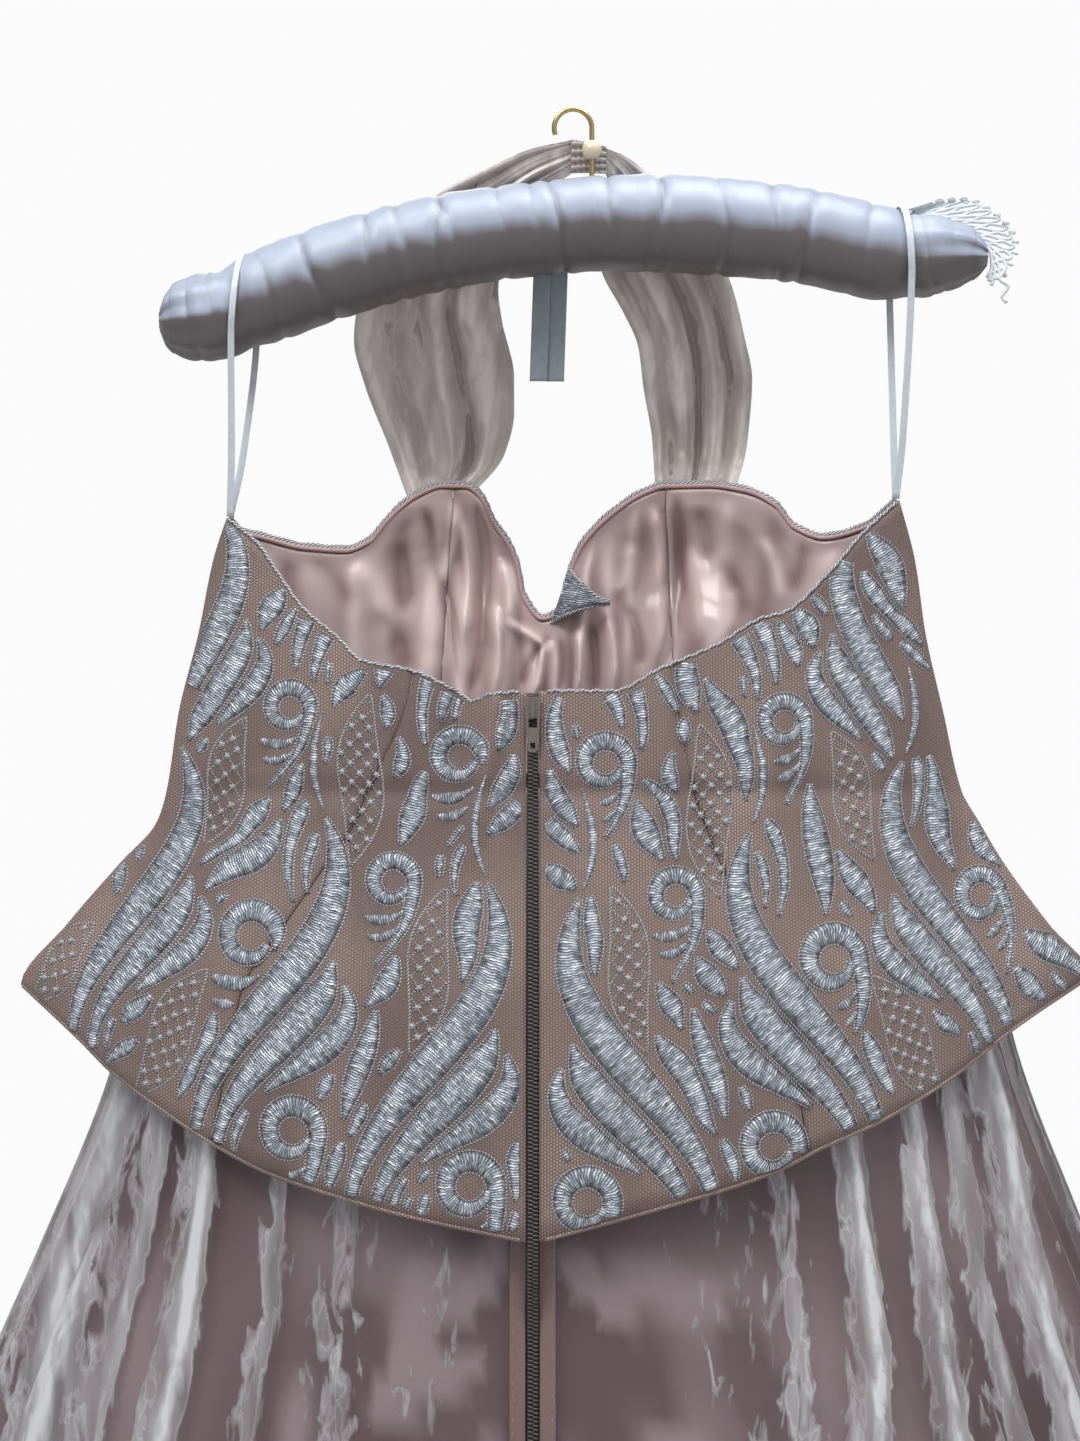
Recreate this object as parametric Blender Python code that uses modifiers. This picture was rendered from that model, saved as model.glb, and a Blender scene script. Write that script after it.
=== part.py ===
"""Halter-neck evening dress with a peplum bodice and an organza overskirt, on a padded hanger.

The row frame has +Z up and the dress's back towards -Y. Its origin is the point inside the
hanger's hook that a rail would carry. Sizes below are in millimetres.
"""

import math

import bmesh
import bpy
from mathutils import Vector

MM = 0.001

# Cloth walls and the gap that sewn pieces keep
GAP = 0.3
BODICE_CLOTH = 1.2
LINING_CLOTH = 1.0
SKIRT_CLOTH = 1.0
BAND_CLOTH = 1.0

# Heights and centre lines
WAIST = -339.0
HEM = -1420.0
UNDER_HEM = -1404.0
CENTRE_BACK = -20.0
CENTRE_FRONT = -8.0
ZIP_TOP = -291.0
ZIP_END = -850.0
ZIP_CLOSED = -955.0
CHAIN_HALF = 2.7
CHAIN_THICK = 2.0
CHAIN_ROWS = 34
PEPLUM_TO_SKIRT = (-545.0, -600.0)
ZIP_OPENING = 3.1

# The bodice and peplum at the side seams, and how far each stands off the seams' plane
BODICE_COLUMNS = ("height", "left", "right", "back", "front")
BODICE = (
    (-194, -170, 163, 20, 42),
    (-225, -180, 171, 27, 50),
    (-260, -187, 176, 33, 52),
    (-300, -197, 185, 39, 51),
    (-339, -203, 194, 43, 48),
    (-355, -208, 203, 45, 49),
    (-375, -226, 215, 49, 52),
    (-405, -252, 237, 57, 60),
    (-437, -276, 262, 66, 68),
    (-500, -276, 262, 78, 80),
    (-570, -276, 262, 88, 90),
)
SIDE_CORNER_POWER = 2.2

# Top edge and hem of the back, from the zip (share 0) to the side seam (share 1)
EDGE_COLUMNS = ("share", "height")
BACK_TOP = {
    "left": (
        (0.00, -290),
        (0.11, -292),
        (0.15, -295),
        (0.20, -290),
        (0.33, -280),
        (0.48, -275),
        (0.56, -264),
        (0.68, -249),
        (0.79, -229),
        (0.86, -217),
        (1.00, -203),
    ),
    "right": (
        (0.00, -290),
        (0.18, -290),
        (0.30, -279),
        (0.45, -267),
        (0.57, -254),
        (0.63, -251),
        (0.76, -231),
        (0.86, -213),
        (1.00, -194),
    ),
}
PEPLUM_HEM = {
    "left": (
        (0.00, -549),
        (0.22, -538),
        (0.35, -530),
        (0.49, -520),
        (0.61, -506),
        (0.72, -490),
        (0.80, -477),
        (0.87, -462),
        (1.00, -436),
    ),
    "right": (
        (0.00, -549),
        (0.21, -534),
        (0.40, -519),
        (0.48, -509),
        (0.59, -497),
        (0.72, -478),
        (0.83, -457),
        (1.00, -430),
    ),
}

# Neckline of the front, from the left side seam (-1) to the right one (1)
NECKLINE = (
    (-1.00, -203),
    (-0.95, -210),
    (-0.87, -213),
    (-0.76, -217),
    (-0.64, -218),
    (-0.57, -213),
    (-0.53, -203),
    (-0.49, -195),
    (-0.44, -189),
    (-0.36, -184),
    (-0.29, -184),
    (-0.25, -188),
    (-0.20, -202),
    (-0.15, -213),
    (-0.12, -224),
    (-0.10, -240),
    (-0.04, -252),
    (0.01, -248),
    (0.04, -228),
    (0.08, -213),
    (0.16, -199),
    (0.27, -187),
    (0.33, -184),
    (0.45, -184),
    (0.56, -187),
    (0.65, -195),
    (0.69, -206),
    (0.77, -212),
    (0.88, -208),
    (0.94, -202),
    (1.00, -194),
)

# Princess seams, as shares of the way from the centre to the side, which is about HALF_BODICE
HALF_BODICE = 180.0
SEAM_GAP_SHARE = GAP / 2 / HALF_BODICE
SEAM_COLUMNS = ("height", "back_left", "back_right", "front")
SEAMS = (
    (-180, 0.30, 0.33, 0.33),
    (-290, 0.33, 0.33, 0.32),
    (-345, 0.44, 0.36, 0.30),
    (-430, 0.54, 0.42, 0.36),
    (-560, 0.63, 0.48, 0.42),
)

# Rows of the walls from the top edge to the waist and from there to the hem, closer at the waist
ROWS_ABOVE_WAIST = 7
ROWS_BELOW_WAIST = 6
PANEL_ROWS = ROWS_ABOVE_WAIST + ROWS_BELOW_WAIST
CLOSER_ABOVE = 1.25
CLOSER_BELOW = 1.35
BACK_GRID = (8, PANEL_ROWS)
FRONT_COLUMNS = {"left": 10, "centre": 20, "right": 10}

# A point between two leaning seams is settled in steps, on the front from the bust's height
BUST_HEIGHT = -250.0
SETTLE_STEPS = 4

# Soft ridges and troughs of the slack back beside the zip, and the tuck at the waist
CREASE_COLUMNS = ("top_x", "foot_x", "top", "foot", "half_width", "rise")
CREASES = (
    (-36, -50, -285, -368, 7.0, 6.0),
    (-54, -64, -285, -350, 7.5, -5.0),
    (-92, -110, -290, -390, 10.0, -2.5),
    (38, 50, -285, -365, 9.0, 3.0),
    (62, 70, -300, -380, 9.0, -2.5),
)
TUCK_DEPTH = 2.0
TUCK_HALF = 7.0
SKIRT_SEAT = (4.5, 3.6)
SEAT_SIGNS = {"left": -1, "right": 1, "back": 1, "front": 1}

# Bust cups of the front
CUPS = ((-58, -222), (58, -220))
CUP_REACH = 16.0
CUP_HALF = (34.0, 30.0)

# Overskirt and underskirt below the waist, and how round their section is
SKIRT_COLUMNS = ("height", "left", "right", "back", "front", "round")
OVERSKIRT = (
    (-375, -205, 198, 43, 46, 0.98),
    (-437, -220, 213, 54, 56, 0.92),
    (-475, -229, 222, 60, 62, 0.88),
    (-565, -264, 256, 72, 75, 0.80),
    (-612, -284, 275, 80, 84, 0.76),
    (-700, -320, 310, 94, 99, 0.70),
    (-900, -390, 378, 126, 132, 0.64),
    (-1150, -462, 449, 165, 172, 0.60),
    (-1420, -522, 508, 205, 212, 0.58),
)
UNDERSKIRT_INSET = 7.0

# Layers of the skirt: name, cloth, how far inside the overskirt, hem, columns and rows
SKIRT_LAYERS = (
    ("overskirt", "organza", 0.0, HEM, 22, 13),
    ("underskirt", "skirt_satin", UNDERSKIRT_INSET, UNDER_HEM, 9, 8),
)
SKIRT_ROWS_CLOSER = 1.15
BELOW_ZIP = 18.0

# Folds of the overskirt: where each stands between the side seams, its half width, its rise
FOLD_COLUMNS = ("place", "half_width", "rise")
BACK_FOLDS = (
    (-0.91, 0.036, 1.0),
    (-0.79, 0.040, 1.0),
    (-0.645, 0.045, 1.1),
    (-0.46, 0.060, 0.45),
    (-0.20, 0.070, 0.25),
    (0.13, 0.070, 0.2),
    (0.335, 0.055, 0.45),
    (0.485, 0.040, 0.9),
    (0.61, 0.040, 1.1),
    (0.75, 0.040, 0.9),
    (0.90, 0.036, 1.0),
)
FRONT_FOLDS = (
    (-0.90, 0.034, 0.9),
    (-0.79, 0.040, 1.0),
    (-0.67, 0.045, 0.9),
    (-0.49, 0.050, 0.8),
    (-0.29, 0.055, 0.5),
    (-0.08, 0.055, 0.4),
    (0.15, 0.055, 0.45),
    (0.36, 0.050, 0.8),
    (0.55, 0.045, 1.0),
    (0.71, 0.040, 0.9),
    (0.89, 0.036, 1.0),
)
FOLD_RISE_AT_HEM = 34.0
FOLD_GROWTH = 0.9
FOLD_FREE_AT_SEAM = (0.02, 0.16)

# Gathers of the lining inside the bust
GATHER_COLUMNS = ("place", "half_width", "depth")
GATHERS = (
    (-0.36, 0.030, 3.0),
    (-0.27, 0.030, 3.5),
    (-0.17, 0.028, 4.0),
    (-0.07, 0.024, 4.0),
    (0.00, 0.020, 3.0),
    (0.07, 0.022, 4.0),
    (0.15, 0.026, 3.5),
    (0.30, 0.035, 3.0),
    (0.44, 0.040, 2.5),
)
LINING_FOOT = -332.0
LINING_DROP = 1.5
LINING_SETBACK = (2.0, 3.8)
LINING_REACH = 0.95
LINING_SEAM = 0.001
GATHERS_START = (4, 30)
SETBACK_START = (2, 20)

# The padded arm of the hanger: its centre line and its half height
PAD_COLUMNS = ("x", "z", "radius")
PAD = (
    (-206.5, -104.0, 5.0),
    (-203.0, -104.0, 13.0),
    (-196.0, -103.7, 18.5),
    (-185.0, -103.0, 21.5),
    (-175.0, -101.3, 21.7),
    (-168.0, -98.8, 20.6),
    (-158.0, -94.3, 22.6),
    (-148.0, -90.0, 23.6),
    (-133.0, -84.0, 23.6),
    (-114.0, -77.5, 24.0),
    (-91.0, -71.0, 23.6),
    (-67.0, -65.5, 23.6),
    (-36.0, -60.5, 23.2),
    (-12.0, -58.0, 23.2),
    (15.0, -55.8, 23.6),
    (43.0, -55.6, 24.3),
    (72.0, -57.0, 24.5),
    (98.0, -59.5, 24.0),
    (118.0, -62.2, 23.8),
    (137.0, -66.5, 23.8),
    (153.0, -70.4, 23.6),
    (162.0, -71.8, 21.6),
    (168.0, -72.0, 20.2),
    (174.0, -71.7, 20.6),
    (184.0, -71.2, 18.8),
    (194.0, -71.2, 15.4),
    (202.0, -71.6, 10.5),
    (207.0, -71.8, 4.5),
)
PAD_DEPTH_SHARE = 0.9
PAD_RING = 18

# Hook, bead and the stem's hole in the pad
WIRE_RADIUS = 1.4
HOOK_INNER = 8.0
STEM_X = HOOK_INNER + WIRE_RADIUS
STEM_HOLE = 1.8
STEM_HOLE_DEPTH = 40.0
STEM_POINTS = (-45.0, -30.0, -18.0)
HOOK_TURN = 200
BEAD_RADIUS = 5.0
BEAD_Z = -19.0

# Neck bands: outer edge and inner edge from the cup to the fastening
BAND_COLUMNS = ("way", "outer_x", "outer_y", "outer_z", "inner_x", "inner_y", "inner_z")
LEFT_BAND = (
    (0.15, -95, 51, -162, -35, 56, -165),
    (0.28, -107, 44, -131, -30, 51, -144),
    (0.38, -112, 36, -110, -30, 45, -126),
    (0.50, -109, 30, -88, -36, 34, -100),
    (0.60, -96, 28, -65, -38, 28, -85),
    (0.72, -70, 22, -38, -36, 26, -66),
    (0.84, -42, 17, -24, -30, 24, -52),
    (0.93, -19, 12, -15, -15, 18.5, -37),
    (1.00, -0.9, 6.0, -12.5, -0.9, 8.0, -29),
)
RIGHT_BAND = (
    (0.15, 91, 51, -160, 42, 55, -160),
    (0.28, 93, 43, -130, 37, 47, -132),
    (0.40, 88, 34, -106, 34, 39, -112),
    (0.50, 81, 28, -81, 26, 32, -95),
    (0.60, 70, 27, -60, 16, 27, -78),
    (0.72, 48, 21, -32, 11, 26, -62),
    (0.84, 36, 17, -25, 18, 23, -50),
    (0.93, 26, 12.5, -19, 20, 18.5, -37),
    (1.00, 16.9, 6.0, -16.5, 16.9, 8.0, -29),
)
BAND_FEET = {"left": (-84.0, -50.0), "right": (84.0, 43.0)}
BAND_LIFT = 2.0
BAND_GATHERS = 4.5
BAND_GATHER_RISE = 5.0
BAND_QUIET_SHARE = 0.15
BAND_SPREADS = (0.0, 0.3)
BAND_DRAWS_IN = (0.8, 1.0)
BAND_ENDS = (0.96, 1.0)
BAND_GRID = (18, 12)
TAB_SIZE = (15.0, 3.0, 17.0)
TAB_PLACE = (8.0, 6.85, -20.8)

# Hanging loops of narrow tape, over the arm and down to the side seams
LOOP_WIDTH = 3.6
LOOP_CLOTH = 0.8
LOOP_REACH = 9.5
LOOP_STEPS = 18
LOOP_TURNS = (-28, 208)
LOOP_FOOT_DEPTH = 0.75
LOOP_KNEE = (5.5, 30.0)
LOOPS = {
    "hanging_loop_left": (-169.0, -160.0, -171.4, -202.3),
    "hanging_loop_right": (167.0, 160.5, 161.4, -193.3),
}

# Two ribbon tails that hang behind the arm
TAIL_TOP = -52.0
TAIL_FOOT = -132.0
TAIL_WIDTH = 9.0
TAIL_CLOTH = 0.8
TAIL_DRIFT = 2.8
TAIL_SWAY = (0.6, 3.0)
TAIL_STEPS = 8
TAILS = {"ribbon_tail_left": (-14.5, 0.0), "ribbon_tail_right": (-6.0, 1.1)}

# Lace frill along the far side of the arm, standing up at its right end
LACE_CLOTH = 1.0
LACE_COLUMNS = ("base_x", "base_y", "base_z", "edge_x", "edge_y", "edge_z")
LACE_END = (
    (176, 9.5, -52.0, 175, 12.0, -45.0),
    (186, 8.0, -53.0, 186, 12.0, -42.0),
    (195, 6.5, -56.5, 197, 12.0, -41.5),
    (202, 5.0, -61.5, 209, 11.0, -47.0),
    (207, 4.0, -66.0, 219, 8.0, -57.0),
    (209.5, 2.0, -71.5, 221, 3.0, -66.0),
    (209.5, 0.0, -77.0, 216, 0.0, -78.5),
    (207.0, -1.5, -83.0, 208.5, -2.0, -87.5),
)
LACE_RISE = 5.5
LACE_LEAN = math.radians(38)
LACE_PRESSED = ((-164, 14), (6, 28), (162, 12))
LACE_CLEAR = 2.8
LACE_CLEAR_TURN = 0.4
LACE_START = -196.0
LACE_STEP = 14.4
LACE_STEPS = 26
LACE_OFF_PAD = GAP + 0.25
LACE_WAVE = (0.8, 0.2, 1.7)
LACE_EDGE_LEAN = 0.15
LACE_PRESSED_SHARE = 0.8

# Zip slider and its pull tab
SLIDER_SIZE = (7.6, 1.4, 10.5)
SLIDER_Z = -298.0
SLIDER_LIFT = 0.5
BRIDGE_SUNK = 0.4
WINDOW_OVER = 4.0
AXIS_OVER_WALL = 1.1
BRIDGE_WIDTH = 1.5
BRIDGE_RISE = 3.4
BRIDGE_LENGTH = 8.4
BRIDGE_WALL = 0.9
PULL_LENGTH = 19.5
PULL_THICK = 1.1
PULL_HOLES = ((4.2, 6.9, -4.0), (2.4, 2.8, -16.2))
PULL_OVER_AXIS = 0.55
PULL_STRAIGHT = 8.5
PULL_CORNER = (0.7, 0.8)
PULL_TOP_HALF = 3.3
PULL_FOOT_HALF = 2.2

# Colours, roughness and metallic value of each finish
FINISHES = {
    "embroidered_tulle": ((0.42, 0.36, 0.35), 0.55, 0.15),
    "lining_satin": ((0.60, 0.44, 0.43), 0.35, 0.0),
    "organza": ((0.50, 0.44, 0.46), 0.35, 0.0),
    "skirt_satin": ((0.33, 0.25, 0.27), 0.35, 0.0),
    "hanger_satin": ((0.66, 0.72, 0.80), 0.3, 0.0),
    "tape": ((0.72, 0.78, 0.84), 0.4, 0.0),
    "grey_ribbon": ((0.42, 0.49, 0.54), 0.4, 0.0),
    "lace": ((0.80, 0.82, 0.80), 0.7, 0.0),
    "gold_wire": ((0.60, 0.50, 0.25), 0.3, 1.0),
    "pearl": ((0.80, 0.72, 0.55), 0.25, 0.0),
    "zip_tape": ((0.20, 0.18, 0.17), 0.6, 0.0),
    "zip_metal": ((0.45, 0.43, 0.38), 0.35, 1.0),
}


def finish(name):
    """The material of that name, made at its first use."""
    found = bpy.data.materials.get(name)
    if found:
        return found
    colour, roughness, metallic = FINISHES[name]
    made = bpy.data.materials.new(name)
    made.use_nodes = True
    shader = made.node_tree.nodes["Principled BSDF"]
    shader.inputs["Base Color"].default_value = (*colour, 1.0)
    shader.inputs["Roughness"].default_value = roughness
    shader.inputs["Metallic"].default_value = metallic
    return made


def between(table, columns, column, key):
    """A column's value at key, on a smooth curve through the rows; the first column holds the keys."""
    index = columns.index(column)
    keys = [row[0] for row in table]
    rising = keys[-1] > keys[0]
    if (key <= keys[0]) == rising:
        return float(table[0][index])
    if (key >= keys[-1]) == rising:
        return float(table[-1][index])
    last = len(table) - 1
    n = next(i for i in range(last) if (key < keys[i + 1]) == rising or key == keys[i + 1])
    here, there = table[n][index], table[n + 1][index]
    span = keys[n + 1] - keys[n]
    slope = (there - here) / span

    def slope_at(i):
        if i in (0, last):
            return slope
        before = (table[i][index] - table[i - 1][index]) / (keys[i] - keys[i - 1])
        after = (table[i + 1][index] - table[i][index]) / (keys[i + 1] - keys[i])
        if before * after <= 0:
            return 0.0
        return 2 * before * after / (before + after)

    t = (key - keys[n]) / span
    start, end = slope_at(n) * span, slope_at(n + 1) * span
    return (
        (1 + 2 * t) * (1 - t) ** 2 * here
        + t * (1 - t) ** 2 * start
        + t * t * (3 - 2 * t) * there
        + t * t * (t - 1) * end
    )


def bodice(column, height):
    return between(BODICE, BODICE_COLUMNS, column, height)


def seam(column, height):
    return between(SEAMS, SEAM_COLUMNS, column, height)


def bump(distance, half_width):
    """A soft bell, 1 in its middle."""
    return math.exp(-((distance / half_width) ** 2))


def fade(value, start, end):
    """0 at start, 1 at end, smooth between them."""
    t = min(1.0, max(0.0, (value - start) / (end - start)))
    return t * t * (3 - 2 * t)


def tuck(height):
    """How far the cloth stands in at the waist's seam."""
    return TUCK_DEPTH * bump(height - WAIST, TUCK_HALF)


def creases(x, height):
    """How far the slack cloth of the back stands out at one point."""
    total = 0.0
    for row in CREASES:
        line = dict(zip(CREASE_COLUMNS, row))
        way = (line["top"] - height) / (line["top"] - line["foot"])
        if -0.3 < way < 1.3:
            middle = line["top_x"] + way * (line["foot_x"] - line["top_x"])
            ends = fade(way, -0.3, 0.15) * (1 - fade(way, 0.7, 1.3))
            if line["rise"] < 0:
                ends *= fade(height, WAIST + 2, WAIST + 20)
            total += line["rise"] * ends * bump(x - middle, line["half_width"])
    return total


def back_point(side, share, height):
    """The inner face of the bodice's back, from the zip's edge (share 0) to a side seam (1)."""
    sign = -1 if side == "left" else 1
    edge = CENTRE_BACK + sign * ZIP_OPENING
    x = edge + share * (bodice(side, height) - edge)
    stand = bodice("back", height) * (1 - share**SIDE_CORNER_POWER)
    slack = (creases(x, height) - tuck(height)) * (1 - share**6)
    return (x, -GAP / 2 - stand - slack, height)


def front_point(share, height):
    """The inner face of the bodice's front, from the left seam (-1) to the right one (1)."""
    side = "left" if share < 0 else "right"
    x = CENTRE_FRONT + abs(share) * (bodice(side, height) - CENTRE_FRONT)
    stand = bodice("front", height) * (1 - abs(share) ** SIDE_CORNER_POWER)
    stand -= tuck(height) * (1 - share**6)
    for cup_x, cup_z in CUPS:
        stand += CUP_REACH * bump(x - cup_x, CUP_HALF[0]) * bump(height - cup_z, CUP_HALF[1])
    return (x, GAP / 2 + stand, height)


def hem_height(side, share):
    return between(PEPLUM_HEM[side], EDGE_COLUMNS, "height", share)


def row_height(d, top, foot):
    """Rows of a panel: closer together near the waist, with one row on it."""
    turn = ROWS_ABOVE_WAIST / PANEL_ROWS
    if d <= turn:
        return top + (WAIST - top) * (1 - (1 - d / turn) ** CLOSER_ABOVE)
    return WAIST + (foot - WAIST) * ((d - turn) / (1 - turn)) ** CLOSER_BELOW


def neckline(share):
    return between(NECKLINE, EDGE_COLUMNS, "height", share)


def lining_point(share, height):
    """The lining of the front: behind its inner face, with gathers that stand inwards."""
    x, y, z = front_point(share, height)
    below = neckline(share) - height
    gather = sum(d * bump(share - p, w) for p, w, d in GATHERS) * fade(below, *GATHERS_START)
    near, far = LINING_SETBACK
    return (x, y - near - (far - near) * fade(below, *SETBACK_START) - gather, z)


def skirt(column, height, inset):
    """The overskirt's or underskirt's measure at a height, tucked into the bodice at the waist."""
    if column == "round":
        waist = 1.0
    else:
        waist = bodice(column, WAIST) - SEAT_SIGNS[column] * SKIRT_SEAT[column in ("back", "front")]
    table = ((WAIST, *[waist] * (len(SKIRT_COLUMNS) - 1)),) + OVERSKIRT
    value = between(table, SKIRT_COLUMNS, column, height)
    if column == "round":
        return value
    seated = SKIRT_SEAT[column in ("back", "front")]
    return value - SEAT_SIGNS[column] * min(inset, seated + inset * fade(height, WAIST - 6, WAIST - 90))


def folds(table, place, height):
    """How far the organza's folds stand out, none at the waist and most at the hem."""
    share = (WAIST - height) / (WAIST - HEM)
    total = sum(rise * bump(place - middle, half) for middle, half, rise in table)
    return FOLD_RISE_AT_HEM * total * share**FOLD_GROWTH * fade(1 - abs(place), *FOLD_FREE_AT_SEAM)


def skirt_point(face, place, height, inset=0.0, table=()):
    """A skirt's inner face. place runs from the left seam (-1) to the right one (1)."""

    centre = CENTRE_BACK if face == "back" else CENTRE_FRONT

    def base(turn):
        across = math.sin(turn)
        half = abs(skirt("left" if across < 0 else "right", height, inset) - centre)
        hollow = max(0.0, 1 - abs(across) ** SIDE_CORNER_POWER) ** skirt("round", height, inset)
        deep = skirt(face, height, inset) * hollow + GAP / 2
        return centre + half * across, -deep if face == "back" else deep

    turn = place * math.pi / 2
    x, y = base(turn)
    rise = folds(table, place, height)
    if rise == 0:
        return (x, y, height)
    step = 0.01
    ax, ay = base(max(-math.pi / 2, turn - step))
    bx, by = base(min(math.pi / 2, turn + step))
    along = Vector((bx - ax, by - ay)).normalized()
    out = Vector((along.y, -along.x)) if face == "back" else Vector((-along.y, along.x))
    if abs(place) > 0.999:
        out = Vector((math.copysign(1, place), 0))
    return (x + out.x * rise, y + out.y * rise, height)


def link(obj):
    DRESS.objects.link(obj)
    return obj


def wall(name, place, across, down, cloth, material, outward):
    """One closed cloth wall. place(a, d) gives its inner face in mm, with a and d from 0 to 1."""
    mesh = bpy.data.meshes.new(name)
    shape = bmesh.new()
    grid = [
        [shape.verts.new(Vector(place(a / across, d / down)) * MM) for a in range(across + 1)]
        for d in range(down + 1)
    ]
    for d in range(down):
        for a in range(across):
            corners = (grid[d][a], grid[d][a + 1], grid[d + 1][a + 1], grid[d + 1][a])
            shape.faces.new(corners)
    shape.normal_update()
    if sum(face.normal.dot(Vector(outward)) for face in shape.faces) < 0:
        bmesh.ops.reverse_faces(shape, faces=shape.faces)
    shape.to_mesh(mesh)
    shape.free()
    mesh.materials.append(finish(material))
    mesh.shade_smooth()
    obj = link(bpy.data.objects.new(name, mesh))
    solid = obj.modifiers.new("cloth", "SOLIDIFY")
    solid.thickness = cloth * MM
    solid.offset = 1.0
    return obj


def loft(name, rings, material):
    """One closed body through rings of points, in mm, with flat ends."""
    mesh = bpy.data.meshes.new(name)
    shape = bmesh.new()
    made = [[shape.verts.new(Vector(p) * MM) for p in ring] for ring in rings]
    count = len(rings[0])
    for near, far in zip(made, made[1:]):
        for i in range(count):
            k = (i + 1) % count
            shape.faces.new((near[i], near[k], far[k], far[i]))
    shape.faces.new(made[0])
    shape.faces.new(made[-1])
    bmesh.ops.recalc_face_normals(shape, faces=shape.faces)
    shape.to_mesh(mesh)
    shape.free()
    mesh.materials.append(finish(material))
    mesh.shade_smooth()
    mesh.set_sharp_from_angle(angle=math.radians(50))
    return link(bpy.data.objects.new(name, mesh))


def strip(name, middles, across, width, cloth, material):
    """A flat tape along a line of points: across gives its width's direction at each point."""
    rings = []
    for i, middle in enumerate(middles):
        before = Vector(middles[max(0, i - 1)])
        after = Vector(middles[min(len(middles) - 1, i + 1)])
        side = Vector(across[i]).normalized() * width / 2
        face = (after - before).cross(side).normalized() * cloth / 2
        centre = Vector(middle)
        rings.append([centre - side - face, centre + side - face, centre + side + face, centre - side + face])
    return loft(name, rings, material)


def block(size, centre):
    """A box of its own, in mm, as a bmesh."""
    shape = bmesh.new()
    bmesh.ops.create_cube(shape, size=1.0)
    bmesh.ops.scale(shape, vec=Vector(size) * MM, verts=shape.verts)
    bmesh.ops.translate(shape, vec=Vector(centre) * MM, verts=shape.verts)
    return shape


def solid(name, shape, material):
    mesh = bpy.data.meshes.new(name)
    shape.to_mesh(mesh)
    shape.free()
    mesh.materials.append(finish(material))
    return link(bpy.data.objects.new(name, mesh))


def cut_or_join(obj, shape, operation):
    """A Boolean with a helper that isn't part of the dress."""
    mesh = bpy.data.meshes.new(obj.name + "_helper")
    shape.to_mesh(mesh)
    shape.free()
    helper = bpy.data.objects.new(mesh.name, mesh)
    HELPERS.objects.link(helper)
    helper.hide_render = True
    helper.display_type = "WIRE"
    modifier = obj.modifiers.new(operation.lower(), "BOOLEAN")
    modifier.operation = operation
    modifier.object = helper


# Bodice and peplum: four back panels and three front panels, cut in one from top edge to hem
def back_panels():
    for side in ("left", "right"):
        line = "back_" + side

        def place(a, d, inner, outer, side=side):
            share = a
            for _ in range(SETTLE_STEPS):
                top = between(BACK_TOP[side], EDGE_COLUMNS, "height", share)
                height = row_height(d, top, hem_height(side, share))
                low, high = inner(height), outer(height)
                share = low + a * (high - low)
            return back_point(side, share, height)

        def centre(a, d, line=line, place=place):
            return place(a, d, lambda h: 0.0, lambda h: seam(line, h) - SEAM_GAP_SHARE)

        def flank(a, d, line=line, place=place):
            return place(a, d, lambda h: seam(line, h) + SEAM_GAP_SHARE, lambda h: 1.0)

        wall("centre_back_" + side, centre, *BACK_GRID, BODICE_CLOTH, "embroidered_tulle", (0, -1, 0))
        wall("side_back_" + side, flank, *BACK_GRID, BODICE_CLOTH, "embroidered_tulle", (0, -1, 0))


def front_place(a, d, inner, outer, point, drop=0.0):
    """A point of a front panel, or of its lining, that lies between two seam lines."""
    share = (inner(BUST_HEIGHT) + outer(BUST_HEIGHT)) / 2
    for _ in range(SETTLE_STEPS):
        top = neckline(share) - drop
        foot = None if drop else hem_height("left" if share < 0 else "right", abs(share))
        height = row_height(d, top, foot) if foot else top + d * (LINING_FOOT - top)
        low, high = inner(height), outer(height)
        share = low + a * (high - low)
    return point(share, height)


def front_spans():
    """Each front panel's two seam lines, and its columns."""
    gap = SEAM_GAP_SHARE
    lines = {
        "left": (lambda h: -1.0, lambda h: -seam("front", h) - gap),
        "centre": (lambda h: -seam("front", h) + gap, lambda h: seam("front", h) - gap),
        "right": (lambda h: seam("front", h) + gap, lambda h: 1.0),
    }
    return {part: (*lines[part], FRONT_COLUMNS[part]) for part in lines}


def front_panels():
    names = {"left": "side_front_left", "centre": "centre_front", "right": "side_front_right"}
    for part, (inner, outer, columns) in front_spans().items():

        def place(a, d, inner=inner, outer=outer):
            return front_place(a, d, inner, outer, front_point)

        wall(names[part], place, columns, PANEL_ROWS, BODICE_CLOTH, "embroidered_tulle", (0, 1, 0))

        def inside(a, d, inner=inner, outer=outer):
            def near(height):
                return max(-LINING_REACH, inner(height) + LINING_SEAM)

            def far(height):
                return min(LINING_REACH, outer(height) - LINING_SEAM)

            return front_place(a, d, near, far, lining_point, drop=LINING_DROP)

        wall("lining_" + part, inside, columns, ROWS_ABOVE_WAIST, LINING_CLOTH, "lining_satin", (0, 1, 0))


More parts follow.
